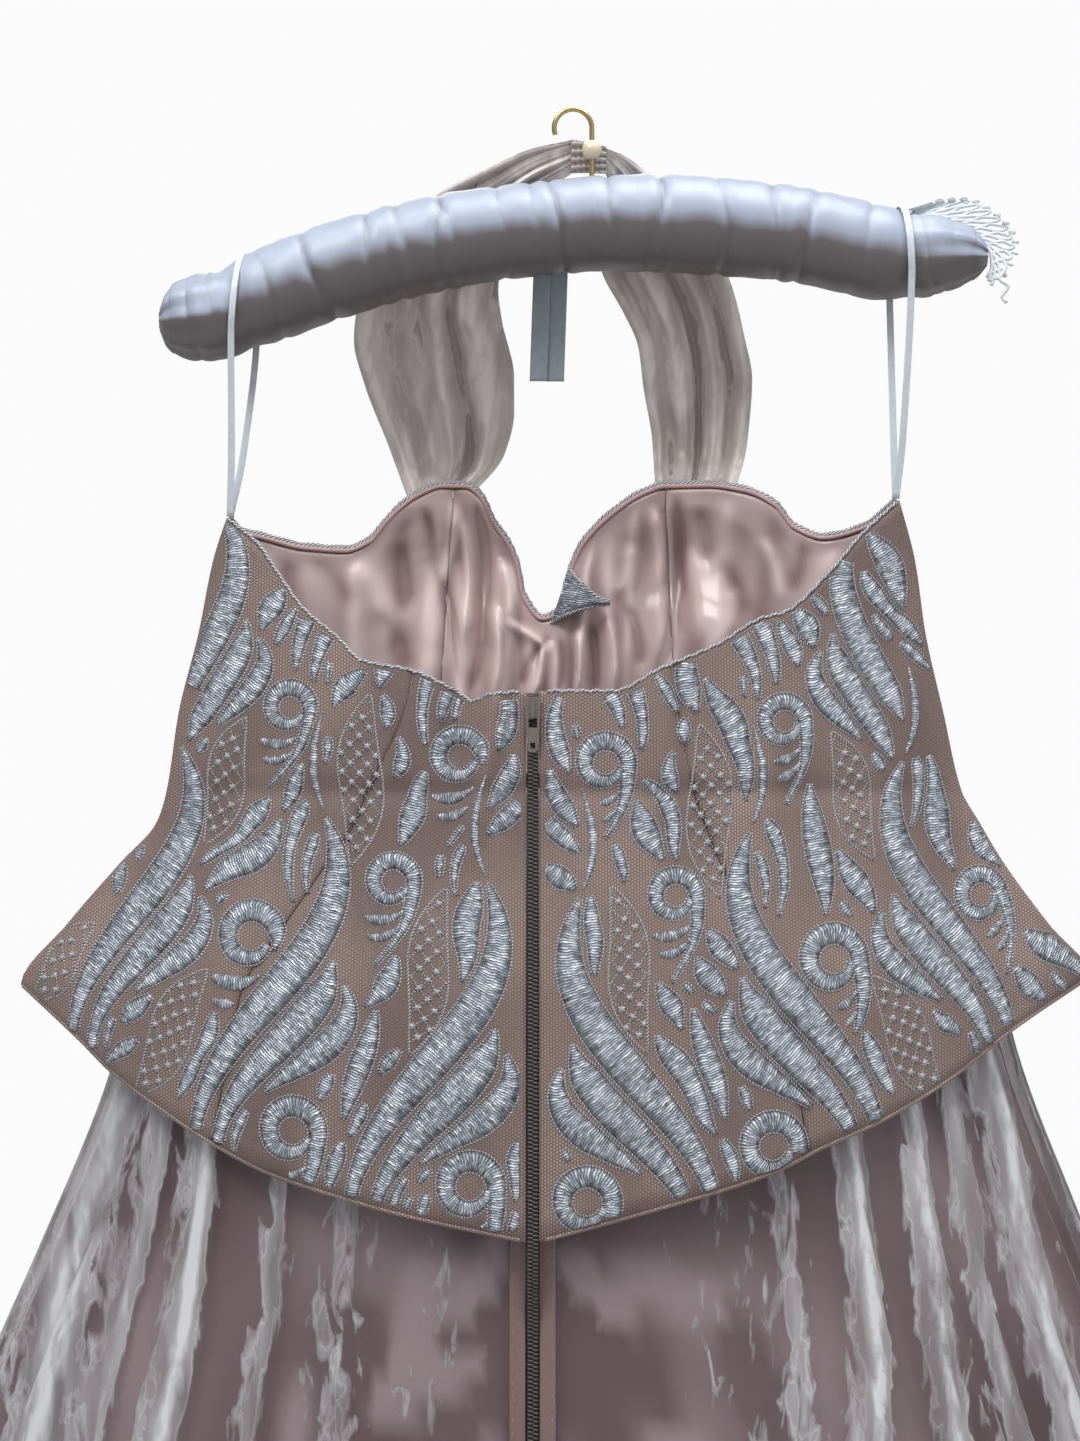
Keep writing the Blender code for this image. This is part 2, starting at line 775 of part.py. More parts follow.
# Skirts: an organza overskirt with folds, over a plainer satin underskirt
def skirt_panels():
    for layer, material, inset, hem, columns, rows in SKIRT_LAYERS:
        folded = layer == "overskirt"
        back_folds = BACK_FOLDS if folded else ()
        front_folds = FRONT_FOLDS if folded else ()

        def height_at(d, hem=hem):
            return WAIST + (hem - WAIST) * d**SKIRT_ROWS_CLOSER

        def opening(height):
            """How far the back's edge stands off the centre line, wider along the zip."""
            return GAP / 2 + (ZIP_OPENING - GAP / 2) * fade(height, ZIP_CLOSED, ZIP_END - BELOW_ZIP)

        for side, sign in (("left", -1), ("right", 1)):

            def place(a, d, sign=sign, inset=inset, table=back_folds, height_at=height_at):
                height = height_at(d)
                half = abs(skirt("left" if sign < 0 else "right", height, inset) - CENTRE_BACK)
                edge = sign * math.asin(opening(height) / half) * 2 / math.pi
                return skirt_point("back", edge + a * (sign - edge), height, inset, table)

            name = f"{layer}_back_{side}"
            wall(name, place, columns, rows, SKIRT_CLOTH, material, (0, -1, 0))

        def place(a, d, inset=inset, table=front_folds, height_at=height_at):
            return skirt_point("front", 2 * a - 1, height_at(d), inset, table)

        wall(layer + "_front", place, 2 * columns, rows, SKIRT_CLOTH, material, (0, 1, 0))


def front_top_edge():
    """The corners of the front panels' top edge, from side to side."""
    corners = []
    for inner, outer, columns in front_spans().values():
        corners += [front_place(a / columns, 0, inner, outer, front_point) for a in range(columns + 1)]
    return corners


def on_edge(corners, x):
    """The point of a run of corners at x."""
    for here, there in zip(corners, corners[1:]):
        if here[0] <= x <= there[0]:
            return Vector(here).lerp(Vector(there), (x - here[0]) / (there[0] - here[0]))
    raise ValueError("x lies off the edge")


# Neck bands: gathered organza from the cups, behind the arm, to a sewn tab beside the hook
def neck_bands():
    corners = front_top_edge()
    for name, rows, feet in (
        ("neck_band_left", LEFT_BAND, BAND_FEET["left"]),
        ("neck_band_right", RIGHT_BAND, BAND_FEET["right"]),
    ):
        lifted = Vector((0, 0, BAND_LIFT))
        outer_foot, inner_foot = (on_edge(corners, x) + lifted for x in feet)
        start = (0.0, *outer_foot, *inner_foot)
        table = (start,) + rows

        def place(a, d, table=table, feet=feet):
            if d == 0:
                return on_edge(corners, feet[0] + a * (feet[1] - feet[0])) + lifted
            ends = [between(table, BAND_COLUMNS, c, d) for c in BAND_COLUMNS[1:]]
            outer, inner = Vector(ends[:3]), Vector(ends[3:])
            spread = fade(d, *BAND_SPREADS) * (1 - fade(d, *BAND_DRAWS_IN))
            wave = 0.5 - 0.5 * math.cos(2 * math.pi * BAND_GATHERS * a)
            share = BAND_QUIET_SHARE + (1 - BAND_QUIET_SHARE) * spread
            out = Vector((0, 1, 0)) * wave * BAND_GATHER_RISE * share
            return outer.lerp(inner, a) + out * (1 - fade(d, *BAND_ENDS))

        wall(name, place, *BAND_GRID, BAND_CLOTH, "organza", (0, 1, 0))
    solid("neck_tab", block(TAB_SIZE, TAB_PLACE), "organza")


def pad(column, x):
    return between(PAD, PAD_COLUMNS, column, x)


def pad_reach(x, half=9):
    """The pad's greatest radius close to x, which what lies round it has to clear."""
    return max(pad("radius", x + half * step / 4) for step in range(-4, 5))


def pad_slope(x):
    return math.atan((pad("z", x + 1) - pad("z", x - 1)) / 2)


# Hanger: a satin-covered padded arm, a wire hook with a bead, ribbon tails and a lace frill
def hanger():
    rings = []
    for x, z, radius in PAD:
        slope = pad_slope(x) if abs(x) < 200 else 0.0
        ring = []
        for i in range(PAD_RING):
            turn = 2 * math.pi * i / PAD_RING
            up = radius * math.sin(turn)
            deep = radius * PAD_DEPTH_SHARE * math.cos(turn)
            ring.append((x - up * math.sin(slope), deep, z + up * math.cos(slope)))
        rings.append(ring)
    arm = loft("hanger_pad", rings, "hanger_satin")
    hole = bmesh.new()
    bmesh.ops.create_cone(
        hole,
        cap_ends=True,
        segments=12,
        radius1=STEM_HOLE * MM,
        radius2=STEM_HOLE * MM,
        depth=STEM_HOLE_DEPTH * MM,
    )
    middle = Vector((STEM_X, 0, STEM_POINTS[0] - GAP + STEM_HOLE_DEPTH / 2)) * MM
    bmesh.ops.translate(hole, vec=middle, verts=hole.verts)
    cut_or_join(arm, hole, "DIFFERENCE")


def hook():
    curve = bpy.data.curves.new("hook", "CURVE")
    curve.dimensions = "3D"
    curve.bevel_depth = WIRE_RADIUS * MM
    curve.bevel_resolution = 2
    curve.use_fill_caps = True
    points = [(STEM_X, 0, z) for z in STEM_POINTS]
    steps = 20
    for i in range(steps + 1):
        turn = math.radians(HOOK_TURN * i / steps)
        points.append((STEM_X * math.cos(turn), 0, -HOOK_INNER + STEM_X * math.sin(turn)))
    spline = curve.splines.new("POLY")
    spline.points.add(len(points) - 1)
    for point, place in zip(spline.points, points):
        point.co = (*(Vector(place) * MM), 1)
    curve.materials.append(finish("gold_wire"))
    link(bpy.data.objects.new("hook", curve))


def bead():
    """A drilled pearl bead, turned round the hook's stem."""
    mesh = bpy.data.meshes.new("hook_bead")
    shape = bmesh.new()
    bore = WIRE_RADIUS + GAP
    lift = math.acos(bore / BEAD_RADIUS)
    count = 10
    profile = []
    for i in range(count + 1):
        turn = lift - 2 * lift * i / count
        profile.append((BEAD_RADIUS * math.cos(turn), BEAD_RADIUS * math.sin(turn)))
    points = [shape.verts.new((r * MM, 0, z * MM)) for r, z in profile]
    for near, far in zip(points, points[1:] + points[:1]):
        shape.edges.new((near, far))
    shape.to_mesh(mesh)
    shape.free()
    mesh.materials.append(finish("pearl"))
    obj = link(bpy.data.objects.new("hook_bead", mesh))
    obj.location = Vector((STEM_X, 0, BEAD_Z)) * MM
    turned = obj.modifiers.new("turned", "SCREW")
    turned.steps = turned.render_steps = 16
    turned.use_merge_vertices = True
    turned.merge_threshold = 0.00001


def ribbon_tails():
    reach = PAD_DEPTH_SHARE * pad("radius", -10) + GAP + TAIL_CLOTH / 2
    sway_out, sway_rate = TAIL_SWAY
    for name, (top_x, back) in TAILS.items():
        middles = []
        for i in range(TAIL_STEPS + 1):
            way = i / TAIL_STEPS
            height = TAIL_TOP + way * (TAIL_FOOT - TAIL_TOP)
            sway = sway_out * math.sin(sway_rate * way) if back else 0.0
            middles.append((top_x - TAIL_DRIFT * way, reach + back + sway, height))
        strip(name, middles, [(1, 0, 0)] * len(middles), TAIL_WIDTH, TAIL_CLOTH, "grey_ribbon")


def hanging_loops():
    for name, (near_x, far_x, foot_x, foot_z) in LOOPS.items():
        level = (1, 0, 0)
        knee_out, knee_up = LOOP_KNEE
        knee_z = foot_z + knee_up
        middles = [(foot_x, -LOOP_FOOT_DEPTH, foot_z), ((foot_x + near_x) / 2, -knee_out, knee_z)]
        across = [level, level]
        first, last = LOOP_TURNS
        for i in range(LOOP_STEPS + 1):
            way = i / LOOP_STEPS
            turn = math.radians(first + (last - first) * way)
            x = near_x + way * (far_x - near_x)
            slope = pad_slope(x)
            clear = GAP + LOOP_CLOTH / 2 + LACE_CLEAR * bump(turn - math.pi / 2 - LACE_LEAN, LACE_CLEAR_TURN)
            high = pad_reach(x, LOOP_REACH) / math.cos(slope) + clear
            deep = pad_reach(x, LOOP_REACH) * PAD_DEPTH_SHARE + clear
            middles.append((x, -deep * math.cos(turn), pad("z", x) + high * math.sin(turn)))
            across.append((math.cos(slope), 0, math.sin(slope)))
        middles += [((foot_x + far_x) / 2, knee_out, knee_z), (foot_x, LOOP_FOOT_DEPTH, foot_z)]
        across += [level, level]
        strip(name, middles, across, LOOP_WIDTH, LOOP_CLOTH, "tape")


def lace():
    rows = []
    level, swell, rate = LACE_WAVE
    for i in range(LACE_STEPS):
        x = LACE_START + LACE_STEP * i
        deep = pad_reach(x) * PAD_DEPTH_SHARE + LACE_OFF_PAD
        high = pad_reach(x) / math.cos(pad_slope(x)) + LACE_OFF_PAD
        base = (x, deep * math.sin(LACE_LEAN), pad("z", x) + high * math.cos(LACE_LEAN))
        pressed = sum(bump(x - place, half) for place, half in LACE_PRESSED)
        rise = LACE_RISE * (level + swell * math.sin(i * rate)) * (1 - LACE_PRESSED_SHARE * min(1.0, pressed))
        rows.append((*base, x, base[1] + rise * LACE_EDGE_LEAN, base[2] + rise))
    rows = tuple(rows) + LACE_END

    def place(a, d):
        row = rows[round(a * (len(rows) - 1))]
        return Vector(row[:3]).lerp(Vector(row[3:]), d)

    wall("hanger_lace", place, len(rows) - 1, 2, LACE_CLOTH, "lace", (0, 1, 0))


# Zip: the closed chain down the centre back, its slider and the pull tab that swings on it
def chain_depth(height):
    """The inner face of the chain: level with the bodice, then with the overskirt."""
    on_bodice = -back_point("left", 0, height)[1]
    on_skirt = skirt("back", height, 0.0) + GAP / 2
    return on_bodice + (on_skirt - on_bodice) * fade(height, *PEPLUM_TO_SKIRT)


def zip_chain():
    rings = []
    for i in range(CHAIN_ROWS + 1):
        height = ZIP_TOP + (ZIP_END - ZIP_TOP) * i / CHAIN_ROWS
        inner, outer = -chain_depth(height), -chain_depth(height) - CHAIN_THICK
        low, high = CENTRE_BACK - CHAIN_HALF, CENTRE_BACK + CHAIN_HALF
        corners = ((low, inner), (high, inner), (high, outer), (low, outer))
        rings.append([(x, y, height) for x, y in corners])
    loft("zip_chain", rings, "zip_tape")


def slider_face():
    """The outer face of the slider's plate."""
    return -chain_depth(SLIDER_Z) - CHAIN_THICK - GAP - SLIDER_LIFT - SLIDER_SIZE[1]


def zip_slider():
    face = slider_face()
    middle = (CENTRE_BACK, face + SLIDER_SIZE[1] / 2, SLIDER_Z)
    body = solid("zip_slider", block(SLIDER_SIZE, middle), "zip_metal")
    bridge = block(
        (BRIDGE_WIDTH, BRIDGE_RISE + BRIDGE_SUNK, BRIDGE_LENGTH),
        (CENTRE_BACK, face - BRIDGE_RISE / 2 + BRIDGE_SUNK / 2, SLIDER_Z),
    )
    cut_or_join(body, bridge, "UNION")
    window = block(
        (BRIDGE_WIDTH + WINDOW_OVER, BRIDGE_RISE - BRIDGE_WALL, BRIDGE_LENGTH - 2 * BRIDGE_WALL),
        (CENTRE_BACK, face - (BRIDGE_RISE - BRIDGE_WALL) / 2, SLIDER_Z),
    )
    cut_or_join(body, window, "DIFFERENCE")


def pull_axis():
    """Where the tab's bar turns, inside the lower end of the bridge."""
    y = slider_face() - (BRIDGE_RISE - BRIDGE_WALL) / 2
    z = SLIDER_Z - BRIDGE_LENGTH / 2 + BRIDGE_WALL + AXIS_OVER_WALL
    return Vector((CENTRE_BACK, y, z))


def zip_pull():
    """A flat tab that narrows downwards, with a window for the bridge and a small square hole."""
    corner_x, corner_z = PULL_CORNER
    right = (
        (PULL_TOP_HALF, PULL_OVER_AXIS),
        (PULL_TOP_HALF, -PULL_STRAIGHT),
        (PULL_FOOT_HALF, -PULL_LENGTH + corner_z),
        (PULL_FOOT_HALF - corner_x, -PULL_LENGTH),
    )
    outline = [*right, *((-x, z) for x, z in reversed(right))]
    rings = [[(x, y, z) for x, z in outline] for y in (-PULL_THICK / 2, PULL_THICK / 2)]
    tab = loft("zip_pull", rings, "zip_metal")
    tab.location = pull_axis() * MM
    for width, height, middle in PULL_HOLES:
        hole = block((width, WINDOW_OVER, height), (0, 0, middle))
        bmesh.ops.translate(hole, vec=pull_axis() * MM, verts=hole.verts)
        cut_or_join(tab, hole, "DIFFERENCE")


for old in list(bpy.data.objects):
    bpy.data.objects.remove(old)
DRESS = bpy.data.collections.new("evening_dress")
HELPERS = bpy.data.collections.new("helpers")
bpy.context.scene.collection.children.link(DRESS)
bpy.context.scene.collection.children.link(HELPERS)

back_panels()
front_panels()
skirt_panels()
neck_bands()
hanger()
hook()
bead()
ribbon_tails()
hanging_loops()
lace()
zip_chain()
zip_slider()
zip_pull()
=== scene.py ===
import math

import bpy
import numpy as np
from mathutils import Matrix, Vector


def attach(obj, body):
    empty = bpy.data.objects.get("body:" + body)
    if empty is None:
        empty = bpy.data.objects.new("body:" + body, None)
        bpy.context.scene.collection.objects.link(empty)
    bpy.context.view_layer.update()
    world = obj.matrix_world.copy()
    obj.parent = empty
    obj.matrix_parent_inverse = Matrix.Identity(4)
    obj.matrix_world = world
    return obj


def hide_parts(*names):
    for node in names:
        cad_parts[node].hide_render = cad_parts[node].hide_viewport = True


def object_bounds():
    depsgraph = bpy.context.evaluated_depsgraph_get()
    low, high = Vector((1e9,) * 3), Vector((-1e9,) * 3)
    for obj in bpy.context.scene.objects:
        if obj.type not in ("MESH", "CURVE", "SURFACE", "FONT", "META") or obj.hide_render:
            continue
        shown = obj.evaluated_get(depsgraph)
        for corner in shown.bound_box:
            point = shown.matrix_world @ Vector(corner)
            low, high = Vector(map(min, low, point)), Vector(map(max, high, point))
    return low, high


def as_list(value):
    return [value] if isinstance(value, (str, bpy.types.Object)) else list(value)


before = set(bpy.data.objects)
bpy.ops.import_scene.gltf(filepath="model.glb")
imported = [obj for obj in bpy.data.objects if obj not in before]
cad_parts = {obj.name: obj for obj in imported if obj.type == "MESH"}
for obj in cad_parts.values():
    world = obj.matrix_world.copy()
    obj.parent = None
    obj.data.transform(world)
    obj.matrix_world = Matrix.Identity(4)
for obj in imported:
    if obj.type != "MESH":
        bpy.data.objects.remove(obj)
cad_low, cad_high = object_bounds()
BODY = "dress"
MM = 0.001


# The camera, the floor and the light
# The dress hangs clear of a plain pale floor, seen level from its back, under a broad soft light from above
# and in front, which leaves the underside of the hanger in shade; the arm's satin also has that shade painted
# into its colour.
PICTURE_HEIGHT = 0.7205
CAMERA_AWAY = 1.40
CAMERA_AT = (-0.0165, -CAMERA_AWAY, -0.30425)
SENSOR = 36.0

camera_data = bpy.data.cameras.new("camera")
camera_data.sensor_width = SENSOR
camera_data.lens = SENSOR * CAMERA_AWAY / PICTURE_HEIGHT
camera_data.clip_start, camera_data.clip_end = 0.05, 100.0
camera = bpy.data.objects.new("camera", camera_data)
camera.location = CAMERA_AT
camera.rotation_euler = (math.radians(90), 0, 0)
bpy.context.scene.collection.objects.link(camera)
bpy.context.scene.camera = camera
bpy.context.scene.view_settings.view_transform = "Standard"

FLOOR_BELOW_HEM = 0.03
FLOOR_REACH = 45.0
BACKGROUND = (0.97, 0.97, 0.97, 1)


def fed(tree, node, values):
    """The node, with those inputs linked to a socket or set to a value."""
    for key, value in values.items():
        if isinstance(value, bpy.types.NodeSocket):
            tree.links.new(value, node.inputs[key])
        else:
            node.inputs[key].default_value = value
    return node


def add(tree, kind, values=None, **settings):
    """A shader node with its settings and the values of its named or numbered inputs."""
    node = tree.nodes.new("ShaderNode" + kind)
    for key, value in settings.items():
        setattr(node, key, value)
    return fed(tree, node, values or {})


def maths(tree, operation, *values):
    """The result of one step of arithmetic on sockets and numbers."""
    return add(tree, "Math", dict(enumerate(values)), operation=operation).outputs[0]


def ranged(tree, value, low, high, to_low=0.0, to_high=1.0):
    """A value carried from one range to another, and held within it."""
    ends = {"From Min": low, "From Max": high, "To Min": to_low, "To Max": to_high}
    return add(tree, "MapRange", {"Value": value, **ends}).outputs["Result"]


def through_stops(tree, value, stops):
    """A colour that runs through those stops, each a place and a colour."""
    ramp = add(tree, "ValToRGB", {"Fac": value})
    while len(ramp.color_ramp.elements) < len(stops):
        ramp.color_ramp.elements.new(0.5)
    for element, (at, colour) in zip(ramp.color_ramp.elements, stops):
        element.position, element.color = at, (*colour, 1)
    return ramp.outputs["Color"]


def principled(name, **values):
    """A new material: its tree and its Principled shader, with those inputs set."""
    made = bpy.data.materials.new(name)
    made.use_nodes = True
    shader = made.node_tree.nodes["Principled BSDF"]
    for key, value in values.items():
        shader.inputs[key.replace("_", " ")].default_value = value
    return made, made.node_tree, shader


def floor():
    low = cad_low.z - FLOOR_BELOW_HEM
    mesh = bpy.data.meshes.new("floor")
    corners = [(x * FLOOR_REACH, y * FLOOR_REACH, low) for x, y in ((-1, -1), (1, -1), (1, 1), (-1, 1))]
    mesh.from_pydata(corners, [], [(0, 1, 2, 3)])
    obj = bpy.data.objects.new("floor", mesh)
    bpy.context.scene.collection.objects.link(obj)
    pale, tree, shader = principled("pale_floor", Roughness=0.8)
    grain = add(tree, "TexNoise", {"Scale": 3.0, "Detail": 2.0})
    tree.links.new(ranged(tree, grain.outputs["Fac"], 0, 1, 0.80, 0.84), shader.inputs["Base Color"])
    place = add(tree, "TexCoord")
    far = add(tree, "VectorMath", {0: place.outputs["Object"]}, operation="LENGTH")
    away = ranged(tree, far.outputs["Value"], 1.6, 3.0)
    seen = add(tree, "LightPath")
    both = maths(tree, "MULTIPLY", away, seen.outputs["Is Camera Ray"])
    plain = add(tree, "Emission", {"Color": BACKGROUND, "Strength": 1.0})
    faded = add(tree, "MixShader", {0: both, 1: shader.outputs[0], 2: plain.outputs[0]})
    tree.links.new(faded.outputs[0], tree.nodes["Material Output"].inputs["Surface"])
    mesh.materials.append(pale)


floor()
world = bpy.data.worlds.new("studio")
bpy.context.scene.world = world
world.use_nodes = True
sky = world.node_tree
sky.nodes.clear()
place = add(sky, "TexCoord")
split = add(sky, "SeparateXYZ", {"Vector": place.outputs["Generated"]})
height = ranged(sky, split.outputs["Z"], -0.6, 0.9)
shade = through_stops(sky, height, ((0.0, (0.10, 0.095, 0.095)), (1.0, (1.15, 1.18, 1.25))))
around = add(sky, "Background", {"Color": shade, "Strength": 0.55})
behind = add(sky, "Background", {"Color": BACKGROUND, "Strength": 1.0})
seen = add(sky, "LightPath")
either = add(sky, "MixShader", {0: seen.outputs["Is Camera Ray"], 1: around.outputs[0], 2: behind.outputs[0]})
out = add(sky, "OutputWorld", {"Surface": either.outputs[0]})

LAMP_COLUMNS = ("name", "x", "y", "z", "target_z", "size", "watts")
LAMPS = (
    ("key", -0.8, -1.1, 1.3, -0.2, 0.8, 21.0),
    ("top", 0.25, -0.25, 1.0, -0.2, 0.8, 13.0),
    ("fill", 1.5, -1.3, 0.1, -0.5, 1.4, 4.0),
    ("far_side", 0.0, 2.2, 0.9, -0.5, 1.6, 20.0),
)
for row in LAMPS:
    lamp = dict(zip(LAMP_COLUMNS, row))
    light = bpy.data.lights.new(lamp["name"], "AREA")
    light.size, light.energy = lamp["size"], lamp["watts"]
    holder = bpy.data.objects.new(lamp["name"], light)
    holder.location = (lamp["x"], lamp["y"], lamp["z"])
    aim = holder.location.copy()
    aim.z -= lamp["target_z"]
    holder.rotation_euler = aim.to_track_quat("Z", "Y").to_euler()
    bpy.context.scene.collection.objects.link(holder)


# Bodice and peplum
# Seven panels of taupe satin under hexagonal tulle, each cut in one from the top edge to the
# peplum's hem and joined at princess and side seams; the back is slack beside the zip.
GAP = 0.3
CLOTH = 0.9
PROUD = 1.2
WAIST, HEM, UNDER_HEM = -339.0, -1420.0, -1404.0
CENTRE_BACK, CENTRE_FRONT = -20.0, -8.0
ZIP_TOP, ZIP_END, ZIP_CLOSED = -291.0, -850.0, -955.0
ZIP_OPENING = 3.1
CORNER = 2.2
BODICE_COLUMNS = ("height", "left", "right", "back", "front")
BODICE = (
    (-194, -170, 163, 20, 42),
    (-225, -180, 171, 27, 50),
    (-260, -187, 176, 33, 52),
    (-300, -197, 185, 39, 51),
    (-339, -203, 194, 43, 48),
    (-355, -208, 203, 45, 49),
    (-375, -226, 215, 49, 52),
    (-405, -252, 237, 57, 60),
    (-437, -276, 262, 66, 68),
    (-500, -276, 262, 78, 80),
    (-570, -276, 262, 88, 90),
)
EDGE_COLUMNS = ("share", "height")
BACK_TOP_LEFT = (
    (0.00, -290),
    (0.11, -292),
    (0.15, -295),
    (0.20, -290),
    (0.33, -280),
    (0.48, -275),
    (0.56, -264),
    (0.68, -249),
    (0.79, -229),
    (0.86, -217),
    (1.00, -203),
)
BACK_TOP_RIGHT = (
    (0.00, -290),
    (0.18, -290),
    (0.30, -279),
    (0.45, -267),
    (0.57, -254),
    (0.63, -251),
    (0.76, -231),
    (0.86, -213),
    (1.00, -194),
)
HEM_LEFT = (
    (0.00, -549),
    (0.22, -538),
    (0.35, -530),
    (0.49, -520),
    (0.61, -506),
    (0.72, -490),
    (0.80, -477),
    (0.87, -462),
    (1.00, -436),
)
HEM_RIGHT = (
    (0.00, -549),
    (0.21, -534),
    (0.40, -519),
    (0.48, -509),
    (0.59, -497),
    (0.72, -478),
    (0.83, -457),
    (1.00, -430),
)
NECKLINE = (
    (-1.00, -203),
    (-0.95, -210),
    (-0.87, -213),
    (-0.76, -217),
    (-0.64, -218),
    (-0.57, -213),
    (-0.53, -203),
    (-0.49, -195),
    (-0.44, -189),
    (-0.36, -184),
    (-0.29, -184),
    (-0.25, -188),
    (-0.20, -202),
    (-0.15, -213),
    (-0.12, -224),
    (-0.10, -240),
    (-0.04, -252),
    (0.01, -248),
    (0.04, -228),
    (0.08, -213),
    (0.16, -199),
    (0.27, -187),
    (0.33, -184),
    (0.45, -184),
    (0.56, -187),
    (0.65, -195),
    (0.69, -206),
    (0.77, -212),
    (0.88, -208),
    (0.94, -202),
    (1.00, -194),
)
SEAM_COLUMNS = ("height", "back_left", "back_right", "front")
SEAMS = (
    (-180, 0.30, 0.33, 0.33),
    (-290, 0.33, 0.33, 0.32),
    (-345, 0.44, 0.36, 0.30),
    (-430, 0.54, 0.42, 0.36),
    (-560, 0.63, 0.48, 0.42),
)
CREASE_COLUMNS = ("top_x", "foot_x", "top", "foot", "half_width", "rise")
CREASES = (
    (-36, -50, -285, -368, 6.0, 6.0),
    (-54, -64, -285, -350, 6.5, -5.0),
    (-92, -110, -290, -390, 10.0, -2.5),
    (38, 50, -285, -365, 9.0, 3.0),
    (62, 70, -300, -380, 9.0, -2.5),
    (-128, -118, -300, -352, 5.0, 1.6),
    (-150, -170, -318, -344, 4.0, -1.2),
    (104, 96, -298, -350, 6.0, 1.5),
    (142, 156, -310, -345, 5.0, -1.2),
    (-75, -95, -395, -520, 16.0, 1.8),
    (52, 66, -390, -515, 18.0, 2.0),
    (-190, -214, -372, -470, 12.0, 1.5),
    (172, 200, -372, -460, 12.0, 1.5),
)
CUPS = ((-58, -222), (58, -220))
CUP_REACH, CUP_HALF = 16.0, (34.0, 30.0)
TUCK_DEPTH, TUCK_HALF = 2.0, 6.0
ROWS_TO_WAIST = 7 / 13


def bell(distance, half_width):
    return np.exp(-((distance / half_width) ** 2))


def ease(value, start, end):
    t = np.clip((value - start) / (end - start), 0.0, 1.0)
    return t * t * (3 - 2 * t)


def through(table, columns, column, at):
    """A column of a table at those keys, on a smooth curve that doesn't overshoot its rows."""
    rows = np.array(table, float)
    rows = rows if rows[0, 0] < rows[-1, 0] else rows[::-1]
    keys, values = rows[:, 0], rows[:, columns.index(column)]
    at = np.clip(np.asarray(at, float), keys[0], keys[-1])
    span = np.diff(keys)
    slope = np.diff(values) / span
    tangent = np.concatenate([slope[:1], np.zeros(len(keys) - 2), slope[-1:]])
    before, after = slope[:-1], slope[1:]
    with np.errstate(divide="ignore", invalid="ignore"):
        tangent[1:-1] = np.where(before * after > 0, 2 * before * after / (before + after), 0.0)
    n = np.clip(np.searchsorted(keys, at, side="right") - 1, 0, len(span) - 1)
    t = (at - keys[n]) / span[n]
    return (
        (1 + 2 * t) * (1 - t) ** 2 * values[n]
        + t * (1 - t) ** 2 * tangent[n] * span[n]
        + t * t * (3 - 2 * t) * values[n + 1]
        + t * t * (t - 1) * tangent[n + 1] * span[n]
    )


def bodice(column, height):
    return through(BODICE, BODICE_COLUMNS, column, height)


def tuck(height):
    return TUCK_DEPTH * bell(height - WAIST, TUCK_HALF)


def slack(x, height):
    """How far the creases of the back stand out."""
    total = np.zeros(np.broadcast(x, height).shape)
    for row in CREASES:
        line = dict(zip(CREASE_COLUMNS, row))
        way = (line["top"] - height) / (line["top"] - line["foot"])
        middle = line["top_x"] + way * (line["foot_x"] - line["top_x"])
        ends = ease(way, -0.3, 0.15) * (1 - ease(way, 0.7, 1.3))
        if line["rise"] < 0:
            ends = ends * ease(height, WAIST + 2, WAIST + 20)
        total = total + line["rise"] * ends * bell(x - middle, line["half_width"])
    return total


def zip_edge(left):
    """The edge of the back's cloth beside the zip."""
    return CENTRE_BACK + np.where(left, -ZIP_OPENING, ZIP_OPENING)


def back_x(share, height, left):
    edge = zip_edge(left)
    return edge + share * (bodice("left" if left else "right", height) - edge)


def back_y(x, height):
    """The outer face of the back's cloth, over any x and height."""
    left = x < CENTRE_BACK
    edge = zip_edge(left)
    side = np.where(left, bodice("left", height), bodice("right", height))
    share = np.clip((x - edge) / (side - edge), 0.0, 1.0)
    stand = bodice("back", height) * (1 - share**CORNER)
    return -GAP / 2 - PROUD - stand - (slack(x, height) - tuck(height)) * (1 - share**6)


def front_y(x, height):
    """The outer face of the front's cloth, with its bust cups."""
    side = np.where(x < CENTRE_FRONT, bodice("left", height), bodice("right", height))
    share = np.clip((x - CENTRE_FRONT) / (side - CENTRE_FRONT), 0.0, 1.0)
    stand = bodice("front", height) * (1 - share**CORNER) - tuck(height) * (1 - share**6)
    for cup_x, cup_z in CUPS:
        stand = stand + CUP_REACH * bell(x - cup_x, CUP_HALF[0]) * bell(height - cup_z, CUP_HALF[1])
    return GAP / 2 + PROUD + stand


def hem_of(share, left):
    low = through(HEM_LEFT, EDGE_COLUMNS, "height", np.abs(share))
    return np.where(left, low, through(HEM_RIGHT, EDGE_COLUMNS, "height", np.abs(share)))


def back_top(share, left):
    low = through(BACK_TOP_LEFT, EDGE_COLUMNS, "height", share)
    return np.where(left, low, through(BACK_TOP_RIGHT, EDGE_COLUMNS, "height", share))


def neckline(share):
    return through(NECKLINE, EDGE_COLUMNS, "height", share)


def rows_between(d, top, foot):
    above = top + (WAIST - top) * (1 - np.clip(1 - d / ROWS_TO_WAIST, 0, 1) ** 1.25)
    below = WAIST + (foot - WAIST) * np.clip((d - ROWS_TO_WAIST) / (1 - ROWS_TO_WAIST), 0, 1) ** 1.35
    return np.where(d <= ROWS_TO_WAIST, above, below)


